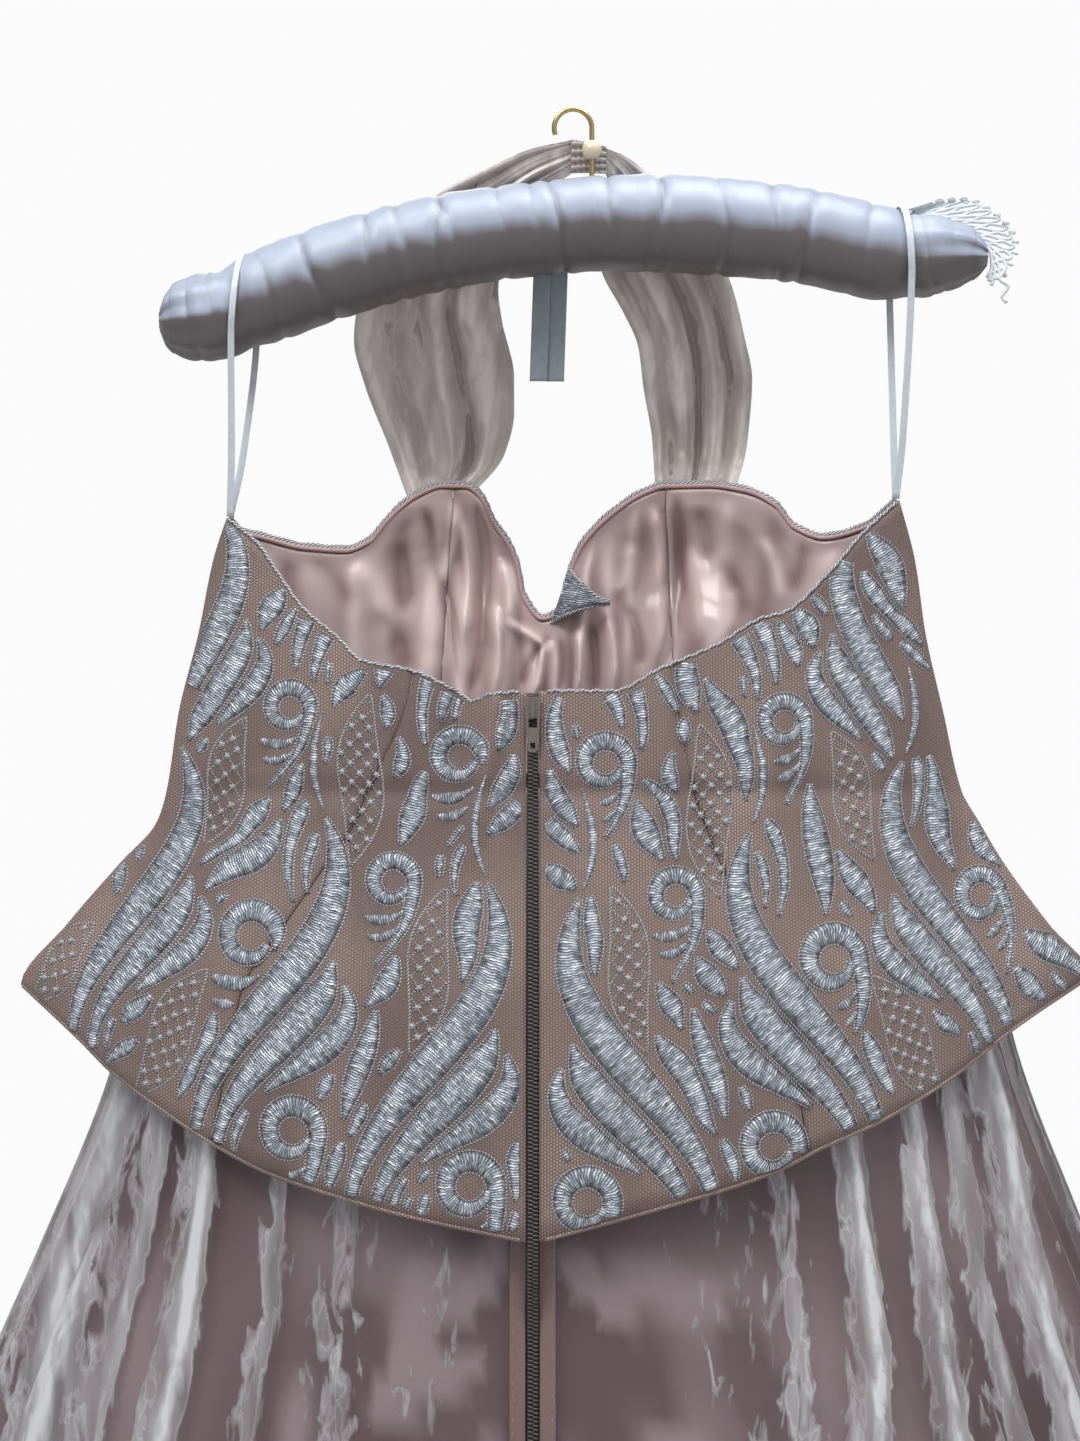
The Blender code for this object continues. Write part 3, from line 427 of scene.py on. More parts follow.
def build(name, points, faces, uv=None, smooth=True):
    """A mesh object from points in mm, at the origin, with a UV map in mm if one is given."""
    mesh = bpy.data.meshes.new(name)
    mesh.from_pydata((np.asarray(points, float) * MM).tolist(), [], [tuple(int(i) for i in f) for f in faces])
    if uv is not None:
        layer = mesh.uv_layers.new(name="cloth")
        ends = np.empty(len(mesh.loops), dtype=np.int32)
        mesh.loops.foreach_get("vertex_index", ends)
        layer.data.foreach_set("uv", np.asarray(uv, np.float32)[ends].ravel())
    if smooth:
        mesh.shade_smooth()
    mesh.validate()
    obj = bpy.data.objects.new(name, mesh)
    bpy.context.scene.collection.objects.link(obj)
    return obj


def shell(name, outer, inner):
    """A closed thin wall between two grids of points, its UV in mm along the outer one."""
    rows, columns = outer.shape[:2]
    index = np.arange(rows * columns).reshape(rows, columns)
    quads = np.stack([index[:-1, :-1], index[1:, :-1], index[1:, 1:], index[:-1, 1:]], -1).reshape(-1, 4)
    rim = np.concatenate([index[:, 0], index[-1, 1:], index[-2::-1, -1], index[0, -2:0:-1]])
    mid = rows // 2, columns // 2
    across = np.cross(outer[mid[0] + 1, mid[1]] - outer[mid], outer[mid[0], mid[1] + 1] - outer[mid])
    if np.dot(across, outer[mid] - inner[mid]) < 0:
        quads, rim = quads[:, ::-1], rim[::-1]
    count = rows * columns
    after = np.roll(rim, -1)
    walls = np.stack([after, rim, rim + count, after + count], -1)
    faces = np.concatenate([quads, quads[:, ::-1] + count, walls])
    step_a = np.linalg.norm(np.diff(outer, axis=1), axis=2)
    step_d = np.linalg.norm(np.diff(outer, axis=0), axis=2)
    along = np.concatenate([np.zeros((rows, 1)), np.cumsum(step_a, axis=1)], axis=1)
    down = np.concatenate([np.zeros((1, columns)), np.cumsum(step_d, axis=0)], axis=0)
    uv = np.stack([along - along.mean(axis=1, keepdims=True), down], -1).reshape(-1, 2)
    points = np.concatenate([outer.reshape(-1, 3), inner.reshape(-1, 3)])
    return build(name, points, faces, np.concatenate([uv, uv]))


def wear(obj, material, slot, *nodes):
    """The piece takes its material, rides on the dress and stands for those nodes."""
    obj.data.materials.append(material)
    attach(obj, BODY)
    if nodes:
        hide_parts(*nodes)
    return obj


def group(name, inputs, outputs):
    """A shader node group with those sockets: its tree, its input node and its output node."""
    tree = bpy.data.node_groups.new(name, "ShaderNodeTree")
    for label, kind, value in inputs:
        socket = tree.interface.new_socket(label, in_out="INPUT", socket_type="NodeSocket" + kind)
        if value is not None:
            socket.default_value = value
    for label, kind in outputs:
        tree.interface.new_socket(label, in_out="OUTPUT", socket_type="NodeSocket" + kind)
    return tree, tree.nodes.new("NodeGroupInput"), tree.nodes.new("NodeGroupOutput")


def placed(tree, made, **values):
    """A use of a node group in a material."""
    node = tree.nodes.new("ShaderNodeGroup")
    node.node_tree = made
    return fed(tree, node, values)


def tulle_net():
    """Hexagonal net: three waves a third of a turn apart, whose sum is high in each hole."""
    tree, start, end = group(
        "tulle_net",
        (("Place", "Vector", None), ("Cell", "Float", 0.0011)),
        (("Thread", "Float"),),
    )
    waves = []
    for turn in (0, 60, 120):
        angle = math.radians(turn)
        line = (math.cos(angle), 0.0, math.sin(angle))
        along = add(tree, "VectorMath", {0: start.outputs["Place"], 1: line}, operation="DOT_PRODUCT")
        scaled = maths(tree, "DIVIDE", along.outputs["Value"], start.outputs["Cell"])
        waves.append(maths(tree, "COSINE", maths(tree, "MULTIPLY", scaled, 2 * math.pi)))
    three = maths(tree, "ADD", maths(tree, "ADD", waves[0], waves[1]), waves[2])
    tree.links.new(ranged(tree, three, 0.6, -0.9), end.inputs["Thread"])
    return tree


def soft_creases():
    """Fine uneven rumples of a light cloth, stretched along its length."""
    sizes = (("Across", "Float", 90.0), ("Along", "Float", 20.0), ("Fineness", "Float", 3.0))
    tree, start, end = group(
        "soft_creases",
        (("Place", "Vector", None), *sizes),
        (("Height", "Float"), ("Tint", "Float")),
    )
    across, along = start.outputs["Across"], start.outputs["Along"]
    size = add(tree, "CombineXYZ", {0: across, 1: across, 2: along}).outputs[0]
    spread = add(tree, "VectorMath", {0: start.outputs["Place"], 1: size}, operation="MULTIPLY").outputs[0]
    fine = {"Detail": start.outputs["Fineness"], "Roughness": 0.5, "Distortion": 0.6}
    near = add(tree, "TexNoise", {"Vector": spread, "Scale": 1.0, **fine})
    tree.links.new(near.outputs["Fac"], end.inputs["Height"])
    far = add(tree, "TexNoise", {"Vector": spread, "Scale": 0.23, "Detail": 2.0})
    tree.links.new(far.outputs["Fac"], end.inputs["Tint"])
    return tree


def mixed(tree, share, first, second, **settings):
    """A colour between two others, each a socket or red, green and blue."""
    ends = [end if isinstance(end, bpy.types.NodeSocket) else (*end, 1) for end in (first, second)]
    mix = add(tree, "Mix", {0: share, 6: ends[0], 7: ends[1]}, data_type="RGBA", **settings)
    return mix.outputs[2]


def bumps(tree, height, strength, distance, **under):
    """The slope of a face with that height on it, over the bumps under it."""
    values = {"Height": height, "Strength": strength, "Distance": distance, **under}
    return add(tree, "Bump", values).outputs["Normal"]


def coloured(tree, shader, colour, normal):
    tree.links.new(colour, shader.inputs["Base Color"])
    tree.links.new(normal, shader.inputs["Normal"])


NET = tulle_net()
CREASED = soft_creases()


def tulle_material():
    soft = {"Sheen_Weight": 0.35, "Sheen_Roughness": 0.4}
    made, tree, shader = principled("tulle_over_satin", Roughness=0.55, **soft)
    place = add(tree, "TexCoord").outputs["Object"]
    net = placed(tree, NET, Place=place, Cell=0.0014).outputs["Thread"]
    rumple = placed(tree, CREASED, Place=place, Across=70.0, Along=25.0)
    patch = ranged(tree, rumple.outputs["Tint"], 0.36, 0.64)
    under = mixed(tree, patch, (0.165, 0.108, 0.088), (0.40, 0.285, 0.235))
    ripple = bumps(tree, rumple.outputs["Height"], 0.5, 0.0012)
    over = mixed(tree, net, under, (0.150, 0.104, 0.092))
    coloured(tree, shader, over, bumps(tree, net, 0.6, 0.0003, Normal=ripple))
    return made


TULLE = tulle_material()


def seam_line(column, height):
    return through(SEAMS, SEAM_COLUMNS, column, height)


def rolled(a, edges):
    """The cloth turns in at a seam, within the last twentieth of a panel."""
    first = (1 - ease(a, 0.0, 0.05)) if edges[0] else 0.0
    last = ease(a, 0.95, 1.0) if edges[1] else 0.0
    return 0.7 * (first + last)


PANEL_LINES = (59, 49)


def grid_of(rows, columns):
    """How far down and how far across each point of a cloth's grid lies, each from 0 to 1."""
    return np.meshgrid(np.linspace(0, 1, rows), np.linspace(0, 1, columns), indexing="ij")


def back_panel(name, side, inner, outer, edges):
    d, a = grid_of(*PANEL_LINES)
    left = side == "left"
    share = a
    for _ in range(5):
        z = rows_between(d, back_top(share, left), hem_of(share, left))
        low, high = inner(z), outer(z)
        share = low + a * (high - low)
    x = back_x(share, z, left)
    y = back_y(x, z) + rolled(a, edges)
    face = np.stack([x, y, z], -1)
    wear(shell(name + "_cloth", face, face + (0, CLOTH, 0)), TULLE, "embroidered_tulle", name)


SEAM_GAP = 0.0008
CENTRE_LINES = 85
for side in ("left", "right"):
    line = "back_" + side
    back_panel("centre_back_" + side, side, lambda z: 0 * z,
               lambda z, line=line: seam_line(line, z) - SEAM_GAP, (False, True))
    back_panel("side_back_" + side, side, lambda z, line=line: seam_line(line, z) + SEAM_GAP,
               lambda z: 1 + 0 * z, (True, False))


def front_grid(inner, outer, rows, columns, top_drop=0.0, foot=None):
    """Shares and heights over a front panel between two seam lines."""
    d, a = grid_of(rows, columns)
    share = inner(-250.0) + a * (outer(-250.0) - inner(-250.0))
    for _ in range(5):
        top = neckline(share) - top_drop
        if foot is None:
            z = rows_between(d, top, hem_of(share, share < 0))
        else:
            z = top + d * (foot - top)
        low, high = inner(z), outer(z)
        share = low + a * (high - low)
    return share, z, a


def front_x(share, z):
    side = np.where(share < 0, bodice("left", z), bodice("right", z))
    return CENTRE_FRONT + np.abs(share) * (side - CENTRE_FRONT)


FRONT_SPANS = {
    "left": (lambda z: -1 + 0 * z, lambda z: -seam_line("front", z) - SEAM_GAP),
    "centre": (lambda z: -seam_line("front", z) + SEAM_GAP, lambda z: seam_line("front", z) - SEAM_GAP),
    "right": (lambda z: seam_line("front", z) + SEAM_GAP, lambda z: 1 + 0 * z),
}
FRONT_NODES = {"left": "side_front_left", "centre": "centre_front", "right": "side_front_right"}
for part, (inner, outer) in FRONT_SPANS.items():
    across = CENTRE_LINES if part == "centre" else PANEL_LINES[1]
    share, z, a = front_grid(inner, outer, PANEL_LINES[0], across)
    x = front_x(share, z)
    y = front_y(x, z) - rolled(a, (part != "left", part != "right"))
    face = np.stack([x, y, z], -1)
    name = FRONT_NODES[part]
    wear(shell(name + "_cloth", face, face - (0, CLOTH, 0)), TULLE, "embroidered_tulle", name)


# Embroidery
# Raised satin stitch in silver metallic thread on the tulle: nested wavy flames, curled scrolls
# with small commas, and open lattice leaves with star knots, most bands edged by a thin cord.
STITCH_HEIGHT = 0.95
CORD_HALF = 0.42
CORD_HEIGHT = 0.8
CORD_OFF = 0.55
SAMPLE = 2.1
SUNK = -0.5
CLEAR = 2.1
THREAD_LEAST = 0.35
UNCUT = 99
MAP_LOW = np.array([-300, -580])
MAP_SIZE = (600, 420)
MAP_REACH = 14.0
# Columns: x0, z0, way0, x1, z1, way1, width
TRIO = (
    (0, 0, 102, 71, 170, 112, 17.0),
    (9, 4, 95, 67, 124, 118, 16.0),
    (18, 14, 88, 76, 90, 110, 14.0),
)
TRIO_STEM = (71, 172, 112, 73, 222, 70, 4.0)
# Columns: x, z, turn, size
TRIOS = (
    (-160, -526, 4, 1.00),
    (-84, -556, 3, 1.00),
    (-224, -480, 6, 0.92),
    (-180, -352, 14, 0.84),
    (-116, -392, 8, 0.80),
    (-42, -392, 10, 0.62),
    (-112, -300, 12, 0.80),
    (-50, -322, 10, 0.80),
    (-14, -560, 10, 0.60),
)
# Columns: x, z, way, long, width
SPINDLES = (
    (-36, -372, 97, 66, 14.0),
    (-124, -352, 84, 64, 13.0),
    (-205, -408, 66, 60, 12.0),
    (-164, -268, 92, 66, 12.0),
    (-9, -350, 92, 78, 12.0),
    (-98, -452, 74, 54, 11.0),
    (-236, -446, 52, 46, 10.0),
    (-60, -318, 98, 48, 11.0),
)
# Columns: x, z, turn, size
SCROLLS = (
    (-115, -500, -4, 0.96),
    (-38, -512, 4, 0.96),
    (-137, -425, -10, 1.00),
    (-214, -388, -22, 0.82),
    (-68, -382, -4, 0.80),
    (-36, -322, 0, 0.86),
    (-116, -302, -8, 0.80),
    (-64, -240, -6, 0.95),
)
# Columns: x, z, way, length, width
LATTICES = (
    (-58, -428, 78, 80, 20),
    (-96, -345, 84, 84, 22),
    (-176, -440, 60, 72, 22),
    (-160, -330, 72, 66, 20),
    (-18, -440, 90, 74, 18),
    (-196, -474, 44, 50, 18),
    (-140, -262, 80, 64, 20),
    (-36, -262, 84, 60, 18),
    (-110, -420, 60, 70, 20),
    (-250, -440, 50, 50, 18),
)
# The other half's motifs: their width and height, and how far they are moved
MIRRORED = (1.05, 1.0, 3.0, -7.0)
# Columns: x0, z0, way0, x1, z1, way1, width
COMMAS = (
    (8.5, -17.0, -140, -15, -22, 165, 8.6),
    (7.0, -26.0, -135, -12, -33, 165, 8.0),
)
LEAF_PLUMP = 0.7
SETTLE_REACH, SETTLE_STEP = 16.0, 4.0
FILL_MOST = 260
FILL_LEAST = 5.8
FILL_LONG = 44.0
FILL_WIDE = 14.0


def bent(x0, z0, way0, x1, z1, way1):
    """A smooth line from one point and heading to another, sampled evenly."""
    start, end = np.array([x0, z0], float), np.array([x1, z1], float)
    reach = np.linalg.norm(end - start) * 0.42
    out_of = start + reach * np.array([math.cos(math.radians(way0)), math.sin(math.radians(way0))])
    into = end - reach * np.array([math.cos(math.radians(way1)), math.sin(math.radians(way1))])
    t = np.linspace(0, 1, 60)[:, None]
    return (1 - t) ** 3 * start + 3 * t * (1 - t) ** 2 * out_of + 3 * t * t * (1 - t) * into + t**3 * end


def far_along(path):
    """How far along a path each of its points lies."""
    return np.concatenate([[0], np.cumsum(np.linalg.norm(np.diff(path, axis=0), axis=1))])


def resampled(path, step):
    """The path with a point every step along it, and how far along each one lies."""
    lengths = far_along(path)
    count = max(4, int(lengths[-1] / step) + 1)
    at = np.linspace(0, lengths[-1], count)
    return np.stack([np.interp(at, lengths, path[:, k]) for k in range(path.shape[1])], -1), at / lengths[-1]


def sideways(line):
    ahead = np.gradient(line, axis=0)
    ahead /= np.linalg.norm(ahead, axis=1, keepdims=True) + 1e-9
    return np.stack([-ahead[:, 1], ahead[:, 0]], -1)


def runs(good):
    """The start and the end of each unbroken stretch of a line that is good."""
    turns = np.flatnonzero(np.diff(np.concatenate([[0], np.asarray(good, int), [0]]))).tolist()
    return list(zip(turns[::2], turns[1::2]))


def round_faces(first, rows, sides):
    """The faces of a tube, closed at both ends, whose rings of points are numbered on from first."""
    index = first + np.arange(rows * sides).reshape(rows, sides)
    after = np.roll(index, -1, axis=1)
    quads = np.stack([index[:-1], after[:-1], after[1:], index[1:]], -1).reshape(-1, 4).tolist()
    return quads + [index[0][::-1].tolist(), index[-1].tolist()]


class Needlework:
    """Bands, cords and knots drawn in x and height, kept apart, and laid on a curved face."""

    def __init__(self, allowed, centre, flip):
        self.allowed, self.centre, self.flip = allowed, centre, flip
        self.flat, self.faces, self.uv, self.knots, self.kinds = [], [], [], [], []
        self.count = 0
        x, z = (low + np.arange(size) for low, size in zip(MAP_LOW, MAP_SIZE))
        x, z = np.meshgrid(x, z, indexing="ij")
        self.cloth = allowed(x, z)
        self.room = np.full(MAP_SIZE, MAP_REACH)

    def spare(self, points):
        """How far each point lies from the nearest stitching."""
        cell = (np.asarray(points) - MAP_LOW + 0.5).astype(int)
        return self.room[np.clip(cell[..., 0], 0, MAP_SIZE[0] - 1), np.clip(cell[..., 1], 0, MAP_SIZE[1] - 1)]

    def claim(self, line, half):
        for point, size in zip(line, half):
            low = np.maximum(point - MAP_LOW - MAP_REACH - size, 0).astype(int)
            high = np.minimum(point - MAP_LOW + MAP_REACH + size + 2, MAP_SIZE).astype(int)
            i, k = np.arange(low[0], high[0]), np.arange(low[1], high[1])
            away = np.hypot(i[:, None] + MAP_LOW[0] - point[0], k[None, :] + MAP_LOW[1] - point[1]) - size
            here = self.room[low[0]:high[0], low[1]:high[1]]
            np.minimum(here, away, out=here)

    def clear(self, path, half, shortest=9.0):
        """The stretches of a band that lie on bare cloth, drawn to a point where the band is cut."""
        inside = self.allowed(path[:, 0], path[:, 1])
        fits = np.minimum(half, self.spare(path) - CLEAR)
        for start, end in runs(inside & (fits > np.minimum(0.8 * half, 1.0 + 0.2 * half))):
            line, wide = path[start:end], fits[start:end]
            if len(line) * SAMPLE < shortest:
                continue
            cut = (start > 0 and inside[start - 1], end < len(path) and inside[end])
            far = np.arange(len(line)) * SAMPLE
            ends = np.minimum(far if cut[0] else UNCUT + far, far[::-1] if cut[1] else UNCUT + far)
            for _ in range(3):
                wide = np.minimum(wide, np.convolve(np.pad(wide, 2, "edge"), np.ones(5) / 5, "valid"))
            drawn = THREAD_LEAST + wide * np.clip(ends / (2.2 * wide.max() + 0.1), 0, 1) ** 0.6
            yield line, np.minimum(wide, drawn)

    def lay(self, line, width, high, lines=5):
        """One raised band, closed beneath, that ends at the cloth's own edge."""
        side = sideways(line)
        across = np.linspace(-1, 1, lines)
        rise = high * np.sqrt(np.clip(1 - across**2, 0, 1)) ** 0.8
        ring_h = np.concatenate([rise, [SUNK, SUNK]])
        ring_v = width[:, None] * np.concatenate([across, [0.8, -0.8]])
        for _ in range(8):
            xz = line[:, None, :] + side[:, None, :] * ring_v[..., None]
            ring_v = np.where(self.allowed(xz[..., 0], xz[..., 1]), ring_v, ring_v * 0.8)
        xz = line[:, None, :] + side[:, None, :] * ring_v[..., None]
        tall = np.minimum(1.0, 0.35 + width / 3.0)
        h = np.where(ring_h > 0, ring_h * tall[:, None], ring_h[None, :] + 0 * tall[:, None])
        n, k = xz.shape[:2]
        self.flat.append(np.concatenate([xz.reshape(-1, 2), h.reshape(-1, 1)], axis=1))
        far = far_along(line)
        self.uv.append(np.stack([np.repeat(far + self.count % 97, k), ring_v.reshape(-1)], -1))
        self.faces += round_faces(self.count, n, k)
        self.kinds += [0 if lines > 3 else 1] * ((n - 1) * k + 2)
        self.count += n * k

    def at(self, x, z, turn, size=1.0, mirrored=True):
        """What turns a motif drawn round its own origin into a place on this half of the cloth."""
        wide, tall, off_x, off_z = MIRRORED if self.flip < 0 else (1.0, 1.0, 0.0, 0.0)
        middle = (self.centre + self.flip * (x * wide + off_x), z * tall + off_z)
        angle = math.radians(turn)
        spin = np.array([[math.cos(angle), math.sin(angle)], [-math.sin(angle), math.cos(angle)]])
        if not mirrored:
            spin = spin if self.flip > 0 else spin.T
            return lambda path: np.asarray(path, float) @ spin * size + middle
        return lambda path: (np.asarray(path, float) @ spin * size) * (self.flip, 1) + middle

    def settle(self, path, half):
        """The shift, as small as may be, that takes a motif's line onto bare cloth, or None."""
        best, found = 0.0, None
        ways = np.arange(-SETTLE_REACH, SETTLE_REACH + 1, SETTLE_STEP)
        for dx in ways:
            for dz in ways:
                line = path + (dx, dz)
                good = self.allowed(line[:, 0], line[:, 1]) & (self.spare(line) > half + 0.6 * CLEAR)
                score = good.mean() - 0.003 * math.hypot(dx, dz)
                if score > best:
                    best, found = score, np.array([dx, dz])
        return found if best > 0.72 else None

    def cord(self, path, half=CORD_HALF, high=CORD_HEIGHT):
        line, _ = resampled(path, SAMPLE)
        for start, end in runs(self.allowed(line[:, 0], line[:, 1])):
            if end - start >= 3:
                self.lay(line[start:end], np.full(end - start, half), high, lines=3)

    def band(self, line, half, edged=True, shortest=9.0):
        """Satin stitch on the bare stretches of a line, with a cord along each of its edges."""
        for run, wide in list(self.clear(line, half, shortest)):
            self.lay(run, wide, STITCH_HEIGHT)
            self.claim(run, wide)
            if edged:
                for sign in (-1, 1):
                    self.cord(run + sideways(run) * (wide + CORD_OFF)[:, None] * sign)

    def leaf(self, path, width, share, edged=True, root=0.35):
        """A pointed leaf, widest where share puts it, on a root of that half width."""
        line, t = resampled(path, SAMPLE)
        half = width / 2 * np.sin(math.pi * np.clip(t, 0, 1) ** share) ** LEAF_PLUMP
        half = np.maximum(half, THREAD_LEAST)
        self.band(line, np.maximum(half, root * ease(t, 1.0, 0.6) * ease(t, -0.02, 0.12)), edged)

    def trio(self, x, z, turn, size):
        """Three flames on stems side by side, the longest with a thin stem on from its tip."""
        place = self.at(x, z, turn, size)
        for row in TRIO:
            self.leaf(place(bent(*row[:6])), row[6] * size, share=1.45, root=2.9 * size)
        self.leaf(place(bent(*TRIO_STEM[:6])), TRIO_STEM[6], share=1.0, edged=False, root=1.0)

    def spindle(self, x, z, way, long, width):
        path = self.at(x, z, way - 90)(bent(0, -long / 2, 96, 0, long / 2, 96))
        shift = self.settle(resampled(path, SAMPLE)[0], width / 2)
        if shift is not None:
            self.leaf(path + shift, width, share=1.0)

    def scroll(self, x, z, turn, size):
        """A ring that curls in on itself, with a tail down its right side and two commas."""
        place = self.at(x, z, turn, size, mirrored=False)
        around = np.radians(np.linspace(-15, -372, 100))
        radius = np.linspace(9.6, 13.6, 100)
        ring = np.stack([radius * np.cos(around), radius * np.sin(around)], -1)
        tail = bent(13.3, -5.0, -92, -6, -50, -128)
        path, t = resampled(place(np.concatenate([ring, tail[3:]])), SAMPLE)
        half = size * (0.5 + 4.4 * np.sin(math.pi * np.clip(t * 1.16 + 0.03, 0, 1)) ** 0.55)
        half = np.where(t > 0.6, np.maximum(half, size * (2.9 - 2.3 * (t - 0.6) / 0.4)), half)
        ring = t < 0.6
        shift = self.settle(path[ring], half[ring])
        if shift is None:
            return
        ring = list(self.clear(path + shift, half, 14.0))
        commas = []
        for row in COMMAS:
            line, t = resampled(place(bent(*row[:6])) + shift, SAMPLE)
            plump = size * row[6] / 2 * np.maximum(np.sin(math.pi * t**1.7), 0.05) ** 0.5
            commas += self.clear(line, plump, 6.0)
        for run, wide in ring + commas:
            self.lay(run, wide, STITCH_HEIGHT)
            self.claim(run, wide)
        for run, wide in ring:
            for sign in (-1, 1):
                self.cord(run + sideways(run) * (wide + CORD_OFF)[:, None] * sign)

    def lattice(self, x, z, way, length, width):
        """A pointed leaf outlined in cord, netted with thin threads and knotted where they meet."""
        place = self.at(x, z, way - 90)

        def edge(s):
            return width / 2 * np.sin(math.pi * np.clip(s, 0, 1)) ** 0.8

        def point(s, v):
            return place(np.stack([v + 3.0 * np.sin(2 * math.pi * s), (s - 0.5) * length], -1)) + shift

        t = np.linspace(0, 1, 50)
        shift = 0.0
        shift = self.settle(point(t, 0 * t), edge(t) - 1.0)
        if shift is None:
            return
        for sign in (-1, 1):
            self.cord(point(t, sign * edge(t)), half=0.6, high=0.9)
        pitch = 9.0
        for k in range(-3, int(length / pitch) + 4):
            for lean in (-1, 1):
                s = np.linspace(0, 1, 90)
                v = lean * (s * length - k * pitch) * 0.95
                keep = np.abs(v) < edge(s) - 0.3
                if keep.sum() > 3:
                    self.cord(point(s[keep], v[keep]), half=0.3, high=0.5)
            for row in (-2, -1, 0, 1, 2):
                s = (k + 0.5 * row) * pitch / length
                v = np.array(0.5 * row * pitch * 0.95)
                if 0.05 < s < 0.95 and abs(v) < edge(s) - 1.5:
                    self.knots.append(point(np.array([s]), v.reshape(1))[0])
        self.claim(point(t, 0 * t), edge(t) + 0.8)

    def grown(self, start):
        """A line through the barest cloth near a point, which leans and bows as the flames do."""
        ends = []
        for sign in (1, -1):
            point, way, line = np.array(start, float), None, []
            for _ in range(int(FILL_LONG / SAMPLE)):
                x = (point[0] - self.centre) * self.flip
                flow = math.radians(72 + 0.10 * x + 24 * math.sin(x * 0.05 + point[1] * 0.036))
                way = flow if way is None else way + 0.25 * (flow - way)
                ahead = np.array([math.cos(way) * self.flip, math.sin(way)]) * sign
                off = np.array([-ahead[1], ahead[0]]) * 2.5
                near, far = self.spare(point + 2 * ahead + off), self.spare(point + 2 * ahead - off)
                way += self.flip * sign * 0.14 * float(np.clip(near - far, -1, 1)) * sign
                point = point + ahead * SAMPLE
                if not self.allowed(point[0], point[1]) or self.spare(point) < CLEAR + 1.0:
                    break
                line.append(point)
            ends.append(line)
        return np.array(ends[1][::-1] + [np.array(start, float)] + ends[0])

    def fill(self):
        """Leaves on the cloth that is still bare, each as wide as its place allows."""
        for _ in range(FILL_MOST):
            bare = np.where(self.cloth, self.room, 0.0)
            start = np.array(np.unravel_index(np.argmax(bare), MAP_SIZE))
            if bare[tuple(start)] < FILL_LEAST:
                break
            line = self.grown(start + MAP_LOW)
            if len(line) > 9:
                line, t = resampled(line, SAMPLE)
                for _ in range(2):
                    line[1:-1] = (line[:-2] + line[1:-1] + line[2:]) / 3
                half = FILL_WIDE / 2 * np.sin(math.pi * np.clip(t, 0, 1) ** 1.2) ** 0.6
                self.band(line, np.maximum(half, 0.4), shortest=8.0)
            self.claim([start + MAP_LOW], [2.0])

    def laid(self, name, surface, outward):
        """The whole embroidery as one mesh on the face y = surface(x, height)."""
        x, z, rise = np.concatenate(self.flat).T
        points = np.stack([x, surface(x, z), z], -1) + facing(surface, outward, x, z) * rise[:, None]
        faces = self.faces if outward < 0 else [f[::-1] for f in self.faces]
        obj = build(name, points, faces, np.concatenate(self.uv))
        obj.data.materials.append(THREAD)
        obj.data.materials.append(CORD)
        obj.data.polygons.foreach_set("material_index", np.array(self.kinds, np.int32))
        return obj


def facing(surface, outward, x, z):
    """The outward normals of a face y = surface(x, height)."""
    step = 0.6
    slope_x = (surface(x + step, z) - surface(x - step, z)) / (2 * step)
    slope_z = (surface(x, z + step) - surface(x, z - step)) / (2 * step)
    normal = np.stack([-outward * slope_x, np.full(len(x), float(outward)), -outward * slope_z], -1)
    return normal / np.linalg.norm(normal, axis=1, keepdims=True)


def thread_sheen():
    """Satin stitches across a band: a height, and a tone from stitch to stitch that picks each stitch's
    painted glint or shade.
    """
    tree, start, end = group(
        "satin_stitches",
        (("Run", "Vector", None), ("Pitch", "Float", 1.0)),
        (("Height", "Float"), ("Tone", "Float")),
    )
    parts = add(tree, "SeparateXYZ", {0: start.outputs["Run"]})
    drift = add(tree, "VectorMath", {0: start.outputs["Run"], 1: (0.09, 0.30, 1.0)}, operation="MULTIPLY")
    uneven = add(tree, "TexNoise", {"Vector": drift.outputs[0], "Scale": 1.0, "Detail": 2.0})
    shift = maths(tree, "MULTIPLY", uneven.outputs["Fac"], 2.2)
    steps = maths(tree, "DIVIDE", maths(tree, "ADD", parts.outputs[0], shift), start.outputs["Pitch"])
    ridge = maths(tree, "SINE", maths(tree, "MULTIPLY", maths(tree, "FRACT", steps), math.pi))
    apart = maths(tree, "MULTIPLY", maths(tree, "FLOOR", steps), 7.31)
    along = maths(tree, "MULTIPLY", parts.outputs[1], 0.13)
    cell = add(tree, "CombineXYZ", {0: apart, 1: along}).outputs[0]
    tone = add(tree, "TexNoise", {"Vector": cell, "Scale": 1.0, "Detail": 2.0, "Roughness": 0.7})
    tree.links.new(ridge, end.inputs["Height"])
    tree.links.new(tone.outputs["Fac"], end.inputs["Tone"])
    return tree


STITCHES = thread_sheen()


# The silver thread's tones, one picked at random for each stitch, run from painted shade to a near-white
# painted glint.
THREAD_GLINT_TONES = (
    (0.30, (0.135, 0.140, 0.150)),
    (0.50, (0.39, 0.43, 0.485)),
    (0.72, (0.93, 0.96, 1.0)),
)


def thread_material():
    made, tree, shader = principled("silver_thread", Roughness=0.42, Metallic=0.35, Specular_IOR_Level=0.8)
    run = add(tree, "TexCoord").outputs["UV"]
    stitch = placed(tree, STITCHES, Run=run, Pitch=1.25)
    tone = through_stops(tree, stitch.outputs["Tone"], THREAD_GLINT_TONES)
    # Painted shade in the furrows between the stitches.
    stitch_shade = ranged(tree, stitch.outputs["Height"], 0, 0.75, 0.35, 1.0)
    shaded = mixed(tree, 1.0, tone, stitch_shade, blend_type="MULTIPLY")
    coloured(tree, shader, shaded, bumps(tree, stitch.outputs["Height"], 1.0, 0.0006))
    return made


